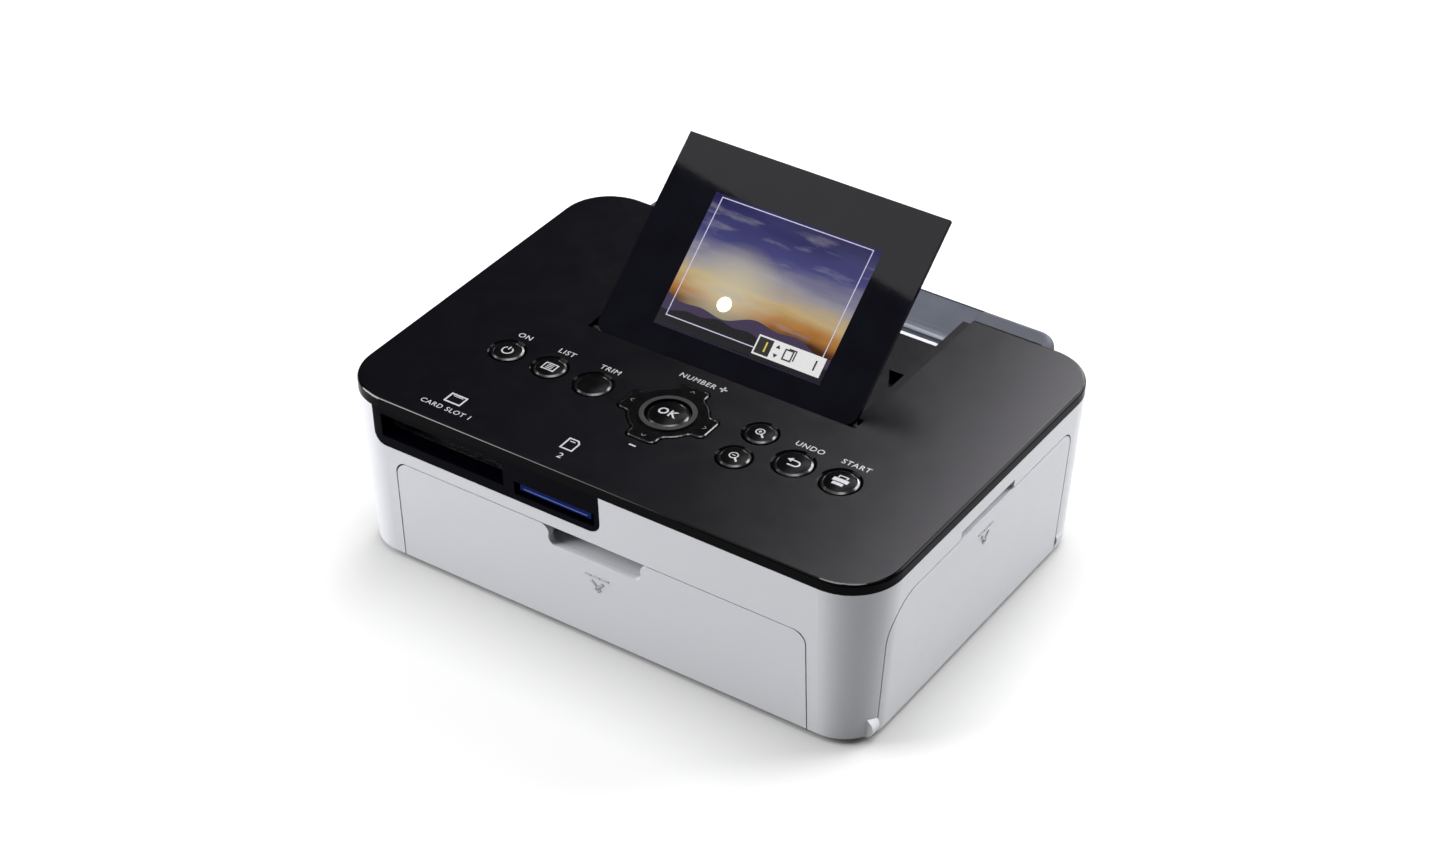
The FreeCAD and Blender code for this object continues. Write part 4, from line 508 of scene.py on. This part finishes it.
def words(text, size, bold=0.008):
    """Flat letters centred on the origin, with capitals of the given height"""
    curve = bpy.data.curves.new("letters", "FONT")
    curve.body = text
    curve.size = size / CAPITAL_SHARE
    curve.offset = bold * size
    curve.space_character = 1.12
    curve.resolution_u = 4
    holder = bpy.data.objects.new("letters", curve)
    flat = bpy.data.meshes.new_from_object(holder)
    points = [(vertex.co.x, vertex.co.y) for vertex in flat.vertices]
    faces = [tuple(face.vertices) if face.normal.z > 0 else tuple(reversed(face.vertices))
             for face in flat.polygons]
    bpy.data.objects.remove(holder)
    bpy.data.curves.remove(curve)
    middle_x = (min(x for x, y in points) + max(x for x, y in points)) / 2
    middle_y = (min(y for x, y in points) + max(y for x, y in points)) / 2
    return moved((points, faces), -middle_x, -middle_y)


def moved(shape, across, along, turn=0.0):
    """The same flat shape elsewhere, turned by an angle in degrees"""
    points, faces = shape
    cosine, sine = math.cos(math.radians(turn)), math.sin(math.radians(turn))
    return [(x * cosine - y * sine + across, x * sine + y * cosine + along) for x, y in points], faces


def joined(*shapes):
    """Several flat shapes as one"""
    points, faces = [], []
    for more_points, more_faces in shapes:
        start = len(points)
        points += more_points
        faces += [tuple(index + start for index in face) for face in more_faces]
    return points, faces


# Pieces made of such shapes

# How deep a printed mark starts under the surface, how high it stands, and from how far over its plane the
# surface is looked for
SURFACE_SINK = 0.04 * MM
PRINT_HEIGHT = 0.05 * MM
RAY_START = 4 * MM


def upright(x, y, z):
    """Plane that faces up at a place"""
    return Matrix.Translation(Vector((x, y, z)))


def facing(origin, across, outward):
    """Plane at a place from the way its width runs and the way it faces"""
    outward, across = Vector(outward).normalized(), Vector(across)
    across = (across - outward * across.dot(outward)).normalized()
    axes = Matrix((across, outward.cross(across), outward)).transposed()
    return Matrix.Translation(Vector(origin)) @ axes.to_4x4()


def middle(node):
    """Middle of a CAD node's box"""
    low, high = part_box(node)
    return (low + high) / 2


def top_plane(node):
    """Upward plane over the middle of a node's top"""
    centre = middle(node)
    return upright(centre.x, centre.y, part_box(node)[1].z)


def piece(name, vertices, faces, material, node, plane=Matrix.Identity(4)):
    """A mesh on a plane of its own with a given material, that rides with a CAD node's body"""
    mesh = bpy.data.meshes.new(name)
    mesh.from_pydata(vertices, [], faces)
    mesh.materials.append(material)
    mesh.validate()
    made = bpy.data.objects.new(name, mesh)
    bpy.context.scene.collection.objects.link(made)
    made.matrix_world = plane
    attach(made, BODY_OF[node])


def prism_faces(faces, count):
    """Faces of a closed solid over a flat shape of count points, with the same points again as its top"""
    top = [tuple(index + count for index in face) for face in faces]
    bottom = [tuple(reversed(face)) for face in faces]
    edges = {(start, end) for face in faces for start, end in zip(face, face[1:] + face[:1])}
    rim = [(start, end) for start, end in sorted(edges) if (end, start) not in edges]
    return top + bottom + [(start, end, end + count, start + count) for start, end in rim]


@functools.cache
def surface_of(node):
    """Search tree of a CAD node's surface"""
    mesh = NODES[node].data
    return BVHTree.FromPolygons([vertex.co for vertex in mesh.vertices],
                                [tuple(face.vertices) for face in mesh.polygons])


def stamp(name, shape, plane, node, material, height=PRINT_HEIGHT):
    """Flat shape laid on a node's surface along a plane's normal, as a thin closed solid"""
    points, faces = shape
    outward = plane.to_3x3() @ Vector((0, 0, 1))
    base = []
    for x, y in points:
        start = plane @ Vector((x * MM, y * MM, RAY_START))
        hit = surface_of(node).ray_cast(start, -outward, 3 * RAY_START)[0]
        base.append(plane @ Vector((x * MM, y * MM, 0)) if hit is None else hit)
    lower = [place - outward * SURFACE_SINK for place in base]
    upper = [place + outward * height for place in base]
    piece(name, lower + upper, prism_faces(faces, len(base)), material, node)


# Icons on the keys, and letters and signs on the plate

KEYS = {key: f"{key}_button" for key in ("power", "menu", "edit", "zoom_in", "zoom_out", "back", "print")}
KEY_LABELS = {"power": "ON", "menu": "LIST", "edit": "TRIM", "back": "UNDO", "print": "START"}

# Width of the icons' lines, height of the words and how far behind a key's middle they stand, and how far the
# marks on the pad's arms are from its middle, in millimetres
LINE = 0.42
LABEL_HEIGHT = 2.1
LABEL_BEHIND = 8.6
PAD_MARK_AWAY = 12.2

# The letters on the middle key stand higher than other prints, because its top is domed
DOME_PRINT_HEIGHT = 0.09 * MM


def power_icon():
    """Broken circle with a stroke in its gap"""
    return joined(stroke(arc((0, -0.1), 1.6, 122, 418, 30), LINE), stroke([(0, 0.3), (0, 1.9)], LINE))


def list_icon():
    """Screen outline with three short lines"""
    rows = [bar(1.1, height, 0.32) for height in (0.75, 0.0, -0.75)]
    return joined(stroke(rectangle(-2, 2, -1.5, 1.5), LINE, closed=True), *rows)


def lens_icon(bigger):
    """Magnifying glass with a plus or minus"""
    parts = [stroke(arc((-0.35, 0.4), 1.25, 0, 345, 22), 0.36, closed=True),
             stroke([(0.6, -0.55), (1.75, -1.7)], 0.6), stroke([(-0.9, 0.4), (0.2, 0.4)], 0.3)]
    if bigger:
        parts.append(stroke([(-0.35, -0.15), (-0.35, 0.95)], 0.3))
    return joined(*parts)


def return_icon():
    """Arrow that turns back on itself"""
    bend = arc((0.8, -0.2), 1.15, 90, -90, 14)
    return joined(stroke([(-1.1, 0.95)] + bend + [(-1.3, -1.35)], 0.5),
                  fill([(-2.5, 0.95), (-0.9, -0.05), (-0.9, 1.95)]))


def sheet_icon():
    """Printer seen from the front, with a sheet above and one coming out below"""
    tray = stroke([(-1.3, 1.3), (-1.3, 2.3), (1.3, 2.3), (1.3, 1.3)], LINE)
    return joined(bar(2.4, 0.3, 1.5), bar(1.7, -1.4, 1.1), tray)


def print_key_icons():
    """Icons on the round keys and letters on the middle key"""
    icons = {"power": power_icon(), "menu": list_icon(), "zoom_in": lens_icon(True),
             "zoom_out": lens_icon(False), "back": return_icon(), "print": sheet_icon()}
    for key, shape in icons.items():
        stamp(f"{key}_icon", shape, top_plane(KEYS[key]), KEYS[key], INK)
    stamp("middle_key_letters", words("OK", 2.9, 0.03), top_plane("ok_button"), "ok_button", INK,
          DOME_PRINT_HEIGHT)


def print_on_plate(signs, x=0.0, y=0.0):
    """Prints signs on the plate, each a shape and its place from a point in millimetres"""
    for name, (shape, across, along) in signs.items():
        stamp(name, shape, upright((x + across) * MM, (y + along) * MM, PLATE_TOP), "top_cover", INK)


def print_plate_labels():
    """Words behind the keys, and signs round the pad and behind the card slots"""
    for key, text in KEY_LABELS.items():
        centre = middle(KEYS[key]) / MM
        print_on_plate({f"{key}_label": (words(text, LABEL_HEIGHT), 0, LABEL_BEHIND)}, centre.x, centre.y)
    pad = middle("nav_pad") / MM
    print_on_plate({
        "count_label": (words("NUMBER", LABEL_HEIGHT), -2.1, 18),
        "plus_sign": (cross(1.2, 0.5), 6.2, 18.3),
        "minus_sign": (bar(1.1, 0, 0.55), 0.2, -17.6),
    }, pad.x, pad.y)
    wide_card = joined(stroke(rectangle(-2.6, 2.6, -1.9, 1.9), 0.55, closed=True), bar(1.6, 1.2, 0.3))
    cut_corner = [(-1.9, -2.4), (1.9, -2.4), (1.9, 1.3), (0.9, 2.4), (-1.9, 2.4)]
    tall_card = joined(stroke(cut_corner, 0.5, closed=True), stroke([(-1.1, 1.3), (0.6, 1.3)], 0.35))
    print_on_plate({
        "wide_card_sign": (wide_card, -54.4, -56),
        "wide_card_number": (words("CARD SLOT 1", 1.9), -54.2, -61),
        "tall_card_sign": (tall_card, -15.1, -55.4),
        "tall_card_number": (words("2", 2.4), -14.6, -61),
    })


def mark_pad_arms():
    """A small mark on each arm of the pad"""
    tick = stroke([(-0.7, -0.35), (0, 0.45), (0.7, -0.35)], 0.3)
    for side, turn in {"back": 0, "left": 90, "front": 180, "right": 270}.items():
        angle = math.radians(turn + 90)
        shape = moved(tick, PAD_MARK_AWAY * math.cos(angle), PAD_MARK_AWAY * math.sin(angle), turn)
        stamp(f"pad_mark_{side}", shape, top_plane("nav_pad"), "nav_pad", DIM_INK)


# Raised rims of the keys and the pad, in millimetres

# Height at which the keys' outlines are read, just under the plate's top, and the radius of their domed tops
KEY_CUT = PLATE_TOP / MM - 1
DOME_RADIUS = 25

# A key's rim: insets of its foot and crest, width of its top and inner slope, its rise and drop
RIM_FOOT = 0.15
RIM_CREST = 0.75
RIM_TOP = 0.08
RIM_INNER = 0.2
RIM_RISE = 0.24
RIM_DROP = 0.15
RIM_STEPS = 72

# The pad's rim, as pairs of inset and height over the plate, and the radii of the collar round its middle key
PAD_RIM = ((0.0, 0.15), (0.4, 0.42), (0.5, 0.42), (0.65, 0.15))
PAD_RIM_STEP = 0.5
COLLAR_OUTER = 8.2
COLLAR_INNER = 6.8
COLLAR_HEIGHT = 0.04 * MM

# Points of the CAD mesh that are closer than this are one
SAME_POINT = 0.002 * MM


def outline_of(node):
    """Corners of a key's outer outline just under the plate's top, anticlockwise, in millimetres"""
    cut = bmesh.new()
    cut.from_mesh(NODES[node].data)
    bmesh.ops.remove_doubles(cut, verts=cut.verts[:], dist=SAME_POINT)
    bmesh.ops.bisect_plane(cut, geom=cut.verts[:] + cut.edges[:] + cut.faces[:],
                           plane_co=(0, 0, KEY_CUT * MM), plane_no=(0, 0, 1),
                           clear_inner=True, clear_outer=True)
    left = set(cut.verts)
    loops = []
    while left:
        here = min(left, key=lambda vertex: (vertex.co.x, vertex.co.y))
        loop = []
        while here is not None:
            loop.append((here.co.x / MM, here.co.y / MM))
            left.discard(here)
            ahead = [edge.other_vert(here) for edge in here.link_edges if edge.other_vert(here) in left]
            here = ahead[0] if ahead else None
        loops.append(loop)
    cut.free()
    outer = max(loops, key=breadth)
    area = sum(x * after[1] - after[0] * y for (x, y), after in zip(outer, outer[1:] + outer[:1]))
    return outer if area > 0 else outer[::-1]


def breadth(loop):
    """How far a line of points reaches from left to right"""
    return max(x for x, y in loop) - min(x for x, y in loop)


def evened(loop, spacing):
    """The same closed line with corners at even steps"""
    lengths = [math.dist(point, after) for point, after in zip(loop, loop[1:] + loop[:1])]
    count = max(8, round(sum(lengths) / spacing))
    step = sum(lengths) / count
    points, travelled, index = [], 0.0, 0
    for number in range(count):
        while travelled + lengths[index] < number * step:
            travelled += lengths[index]
            index += 1
        share = (number * step - travelled) / lengths[index]
        (x, y), (next_x, next_y) = loop[index], loop[(index + 1) % len(loop)]
        points.append((x + (next_x - x) * share, y + (next_y - y) * share))
    return points


def bead(name, loop, profile, node):
    """Closed glossy bead along an anticlockwise loop, from pairs of inset and height"""
    vertices, faces = [], []
    rows, size = len(loop), len(profile)
    for index, (x, y) in enumerate(loop):
        before, after = Vector(loop[index - 1]), Vector(loop[(index + 1) % rows])
        run = (after - before).normalized()
        vertices += [((x - run.y * inset) * MM, (y + run.x * inset) * MM, height * MM)
                     for inset, height in profile]
    for row in range(rows):
        here, after = row * size, (row + 1) % rows * size
        for place in range(size):
            onward = (place + 1) % size
            faces.append((here + place, here + onward, after + onward, after + place))
    piece(name, vertices, faces, RIM_GLOSS, node)


def add_key_rims():
    """Raised glossy rim with a long outer slope round the top of each key"""
    for node in [*KEYS.values(), "ok_button"]:
        centre = middle(node) / MM
        radius = breadth(outline_of(node)) / 2
        sag = DOME_RADIUS - math.sqrt(DOME_RADIUS ** 2 - (radius - RIM_CREST) ** 2)
        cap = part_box(node)[1].z / MM - sag
        top_end = RIM_CREST + RIM_TOP
        profile = [(RIM_FOOT, cap - RIM_DROP), (RIM_CREST, cap + RIM_RISE), (top_end, cap + RIM_RISE),
                   (top_end + RIM_INNER, cap - RIM_DROP)]
        loop = arc((centre.x, centre.y), radius, 0, 360 - 360 / RIM_STEPS, RIM_STEPS - 1)
        bead(f"{node}_rim", loop, profile, node)


def add_pad_rim():
    """Raised glossy rim round the pad, and a flat lighter grey ring round its middle key, painted sheen for the
    collar there
    """
    profile = [(inset, PLATE_TOP / MM + height) for inset, height in PAD_RIM]
    bead("pad_rim", evened(outline_of("nav_pad"), PAD_RIM_STEP), profile, "nav_pad")
    ring = arc((0, 0), (COLLAR_OUTER + COLLAR_INNER) / 2, 0, 355, 71)
    band = stroke(ring, COLLAR_OUTER - COLLAR_INNER, closed=True)
    stamp("pad_collar", band, top_plane("nav_pad"), "nav_pad", COLLAR_PAINTED_SHEEN, COLLAR_HEIGHT)


# The screen: its own plane runs up from the hinge

# Left, right, low and high side of the picture, the frame line in it and the status strip, in millimetres
PICTURE = (-27.2, 29.2, 8.0, 49.6)
FRAME_LINE = (-24.6, 26.5, 10.8, 48.8)
STRIP = (5.5, 28.0, 9.0, 15.0)
SUN_PLACE = (-9, 19.4)
SUN_RADIUS = 2.3
DIGIT_HEIGHT = 3.2
HILL_STEPS = 60

# How far each layer of the picture lies over the last, and how thick it is
LAYER_STEP = 0.04 * MM
LAYER_THICKNESS = 0.02 * MM


def panel_plane(lift=0.0):
    """Plane of the screen's face, with its origin over the hinge"""
    return facing(HINGE + PANEL_OUT * (PANEL_FACE + lift), (1, 0, 0), PANEL_OUT)


def panel_layer(name, shape, layer, material):
    """Thin flat layer of the picture, drawn in the screen's plane so that its material can use it"""
    points, faces = shape
    vertices = [(x * MM, y * MM, depth) for depth in (0, LAYER_THICKNESS) for x, y in points]
    piece(name, vertices, prism_faces(faces, len(points)), material, "lcd_module",
          panel_plane(layer * LAYER_STEP))


def hill(height, waves):
    """Filled hill across the picture, from waves of a size, a length and a start"""
    left, right, low, high = PICTURE
    points = []
    for step in range(HILL_STEPS + 1):
        across = left + (right - left) * step / HILL_STEPS
        rise = sum(size * math.sin(across / length + start) for size, length, start in waves)
        points += [(across, low), (across, height + rise)]
    return points, [(2 * step, 2 * step + 2, 2 * step + 3, 2 * step + 1) for step in range(HILL_STEPS)]


def lit_ink(name, colour, glow=1.0):
    """Ink of the display, which shines and hardly mirrors"""
    return ink(name, colour, glow, 0.05)


def add_picture():
    """Generic landscape on the display, in a frame line"""
    panel_layer("picture_sky", fill(rectangle(*PICTURE)), 0, evening_sky("picture_sky"))
    panel_layer("picture_sun", fill(arc(SUN_PLACE, SUN_RADIUS, 0, 352, 44)), 1,
                lit_ink("low_sun", (0.75, 0.60, 0.32)))
    panel_layer("picture_far_hill", hill(16.6, [(1.3, 6.5, 0.4), (0.7, 2.6, 1.0)]), 2,
                lit_ink("far_hill", (0.012, 0.008, 0.020)))
    panel_layer("picture_near_hill", hill(13.2, [(1.1, 9.0, 2.2), (0.35, 1.7, 0.3)]), 3,
                lit_ink("near_hill", (0.0012, 0.0012, 0.002)))
    panel_layer("picture_frame", stroke(rectangle(*FRAME_LINE), 0.3, closed=True), 4,
                lit_ink("frame_ink", (0.16, 0.15, 0.20)))


def add_status_strip():
    """Status strip over the picture, with two plain numbers and small signs"""
    left, right, low, high = STRIP
    centre = (low + high) / 2
    dark = lit_ink("strip_dark", (0.008, 0.008, 0.008), 0.1)
    panel_layer("strip", fill(rectangle(*STRIP)), 5, lit_ink("strip_ink", (0.22, 0.22, 0.22), 0.8))
    panel_layer("strip_cell", fill(rectangle(left + 0.5, left + 5.2, low + 0.5, high - 0.5)), 6, dark)
    panel_layer("strip_count", moved(words("1", DIGIT_HEIGHT), left + 3.4, centre), 7,
                lit_ink("strip_yellow", (0.20, 0.16, 0.03)))
    panel_layer("strip_total", moved(words("1", DIGIT_HEIGHT), right - 2.6, centre), 7, dark)
    signs = joined(fill([(-3.6, 0.9), (-2.2, 0.9), (-2.9, 2.0)]),
                   fill([(-3.6, -0.9), (-2.9, -2.0), (-2.2, -0.9)]),
                   stroke(rectangle(-0.4, 2.2, -1.5, 1.5), 0.4, closed=True),
                   stroke([(3.0, -1.2), (3.0, 1.9), (0.6, 1.9)], 0.35))
    panel_layer("strip_signs", moved(signs, left + 10, centre), 7, dark)


# Relief on the doors, lighter lines on the memory card that are painted highlights, and dark crosses on the screws
# that are painted shade

# Places of the doors' marks, the front door's across and up, the ink door's along and up
FRONT_MARK = (0.5 * MM, 22 * MM)
SIDE_MARK = (-5.6 * MM, 38 * MM)

RELIEF_HEIGHT = 0.25 * MM
CARD_RIDGE_HEIGHT = 0.1 * MM
CARD_RIDGE_INSET = 1.2
CROSS_HEIGHT = 0.03 * MM
SCREWS = {"front_left": (-76.2, -59.2), "front_right": (76.2, -59.2), "back_left": (-71.5, 52.0),
          "back_right": (71.5, 52.0)}


def arrow_relief():
    """Two arrow heads under three short bars"""
    bars = [stroke([(across - 1.0, 2.6), (across + 1.0, 2.6)], 0.5) for across in (-2.9, 0, 2.9)]
    head = stroke([(-1.9, 0.9), (0, -1.1), (1.9, 0.9)], 0.7)
    return joined(head, stroke([(-0.9, -1.4), (0, -2.4), (0.9, -1.4)], 0.5), *bars)


def emboss_doors():
    """Raised opening marks on both doors"""
    front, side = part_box("front_door")[0].y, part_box("ink_door")[1].x
    planes = {"front_door": facing((FRONT_MARK[0], front, FRONT_MARK[1]), (1, 0, 0), (0, -1, 0)),
              "ink_door": facing((side, *SIDE_MARK), (0, 1, 0), (1, 0, 0))}
    for door, plane in planes.items():
        stamp(f"{door}_mark", arrow_relief(), plane, door, RELIEF_SHADE, RELIEF_HEIGHT)


def paint_card_highlights():
    """Light blue ridges across the top of the memory card's end, and a light line across its front: painted
    highlights
    """
    low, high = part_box("memory_card")
    centre = (low + high) / 2
    reach = (high.x - low.x) / MM / 2 - CARD_RIDGE_INSET
    # The ridges and the front line take the lighter blue: painted highlights
    ridges = joined(bar(reach, 0.45, 0.6), bar(reach, 1.6, 0.3))
    top = upright(centre.x, low.y, high.z)
    stamp("card_ridges_highlight_paint", ridges, top, "memory_card", CARD_HIGHLIGHT_PAINT, CARD_RIDGE_HEIGHT)
    front = facing((centre.x, low.y, centre.z), (1, 0, 0), (0, -1, 0))
    stamp("card_front_highlight_paint", bar(reach, -0.2, 0.24), front, "memory_card", CARD_HIGHLIGHT_PAINT)


def cross_screws():
    """Dark cross on each case screw, painted shade in place of its cross recess"""
    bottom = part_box("case_screws")[0].z
    for name, (x, y) in SCREWS.items():
        plane = facing((x * MM, y * MM, bottom), (1, 0, 0), (0, 0, -1))
        stamp(f"screw_cross_{name}", cross(1.3, 0.5), plane, "case_screws", RECESS_PAINTED_SHADE, CROSS_HEIGHT)


# Light, floor and camera

# The camera as solved on the photograph: place and target in metres, lens and sensor in millimetres
CAMERA_PLACE = Vector((0.41795, -0.62548, 0.57737))
CAMERA_TARGET = Vector((-0.00503, 0.00283, 0.03049))
LENS = 80.63
SENSOR_WIDTH = 36

# Softboxes: azimuth and elevation in degrees, distance, width and height in metres, brightness, and for some
# a colour and a roll in degrees
LIGHT_TARGET = Vector((0, 0, 0.03))
SOFTBOXES = {
    "key_left": (213, 27, 1.1, 0.7, 0.7, 18),
    "right_side": (50, 25, 1.4, 0.5, 0.9, 17),
    "low_back": (102, 7, 1.5, 1.1, 0.2, 7),
    "right_back": (80, 25, 1.5, 1.0, 1.1, 12),
    "back_sheen": (109, 40, 1.5, 0.24, 1.2, 7.6, (0.97, 0.94, 1.0), -24),
    "back_edge": (119, 33, 1.5, 0.2, 1.2, 0.4, (0.97, 0.95, 1.0)),
    "top": (90, 84, 1.5, 1.1, 1.1, 11.5),
}

# The light overhead: its height, size and brightness, and two points of the slanting line and one point over
# it in the screen's plane, in millimetres
OVERHEAD_HEIGHT = 1.5
OVERHEAD_LENGTH = 1.5
OVERHEAD_DEPTH = 0.75
OVERHEAD_RADIANCE = 0.8
LINE_LEFT = (-43, 54)
LINE_RIGHT = (42.4, 39.3)
OVER_LINE = (0, 64)

ROOM_COLOUR = (0.95, 0.97, 1.0)
ROOM_BRIGHTNESS = 0.02
FLOOR_REACH = 4.0


def add_object(name, data):
    """New object in the scene"""
    made = bpy.data.objects.new(name, data)
    bpy.context.scene.collection.objects.link(made)
    return made


def look_at(holder, place, target):
    """Puts a camera or light at a place, turned towards a target"""
    holder.location = place
    holder.rotation_euler = (target - place).to_track_quat("-Z", "Y").to_euler()


def add_camera():
    """Camera at the photograph's place"""
    data = bpy.data.cameras.new("camera")
    data.lens = LENS
    data.sensor_width = SENSOR_WIDTH
    data.clip_start = 0.01
    data.clip_end = 20
    camera = add_object("camera", data)
    look_at(camera, CAMERA_PLACE, CAMERA_TARGET)
    bpy.context.scene.camera = camera


def add_light(name, width, height, radiance, colour=(1, 1, 1)):
    """Rectangular light of a given brightness"""
    data = bpy.data.lights.new(name, "AREA")
    data.shape = "RECTANGLE"
    data.size, data.size_y = width, height
    data.energy = radiance * math.pi * width * height
    data.color = colour
    return add_object(name, data)


def softbox(name, azimuth, elevation, distance, width, height, radiance, colour=(1, 1, 1), roll=0):
    """Light that faces the printer"""
    turn, rise = math.radians(azimuth), math.radians(elevation)
    way = Vector((math.cos(rise) * math.cos(turn), math.cos(rise) * math.sin(turn), math.sin(rise)))
    lamp = add_light(name, width, height, radiance, colour)
    look_at(lamp, LIGHT_TARGET + way * distance, LIGHT_TARGET)
    lamp.rotation_euler.rotate_axis("Z", math.radians(roll))


def add_softboxes():
    """Lights that stand round the printer"""
    for name, values in SOFTBOXES.items():
        softbox(name, *values)


def mirrored_in_panel(across, along):
    """Place at the overhead light's height that the camera sees mirrored in the screen's face"""
    spot = panel_plane() @ Vector((across * MM, along * MM, 0))
    ray = (spot - CAMERA_PLACE).normalized()
    ray -= 2 * ray.dot(PANEL_OUT) * PANEL_OUT
    return spot + ray * ((OVERHEAD_HEIGHT - spot.z) / ray.z)


def add_overhead():
    """Wide dim light whose edge is the slanting line mirrored in the screen"""
    first, second, inner = [mirrored_in_panel(*spot) for spot in (LINE_LEFT, LINE_RIGHT, OVER_LINE)]
    along = (second - first).normalized()
    aside = inner - first
    aside = (aside - along * aside.dot(along)).normalized()
    centre = (first + second) / 2 + aside * OVERHEAD_DEPTH / 2
    lamp = add_light("overhead", OVERHEAD_LENGTH, OVERHEAD_DEPTH, OVERHEAD_RADIANCE)
    lamp.matrix_world = facing(centre, along, (0, 0, 1))


def add_room():
    """Dim room round the printer"""
    world = bpy.data.worlds.new("room")
    world.use_nodes = True
    background = world.node_tree.nodes["Background"]
    background.inputs["Color"].default_value = (*ROOM_COLOUR, 1)
    background.inputs["Strength"].default_value = ROOM_BRIGHTNESS
    bpy.context.scene.world = world
    bpy.context.scene.view_settings.view_transform = "Standard"


def add_floor():
    """Pale floor"""
    finish = Finish("floor_pale")
    finish.set(Base_Color=finish.tint(finish.noise(300, 2), (0.32, 0.32, 0.32), (0.34, 0.34, 0.34)),
               Roughness=0.7, Specular_IOR_Level=0.2)
    corners = rectangle(-FLOOR_REACH, FLOOR_REACH, -FLOOR_REACH, FLOOR_REACH)
    mesh = bpy.data.meshes.new("floor")
    mesh.from_pydata([(x, y, 0) for x, y in corners], [], [(0, 1, 2, 3)])
    mesh.materials.append(finish.material)
    add_object("floor", mesh)


dress_nodes()
print_key_icons()
print_plate_labels()
mark_pad_arms()
add_key_rims()
add_pad_rim()
add_picture()
add_status_strip()
emboss_doors()
paint_card_highlights()
cross_screws()
add_camera()
add_room()
add_softboxes()
add_overhead()
add_floor()
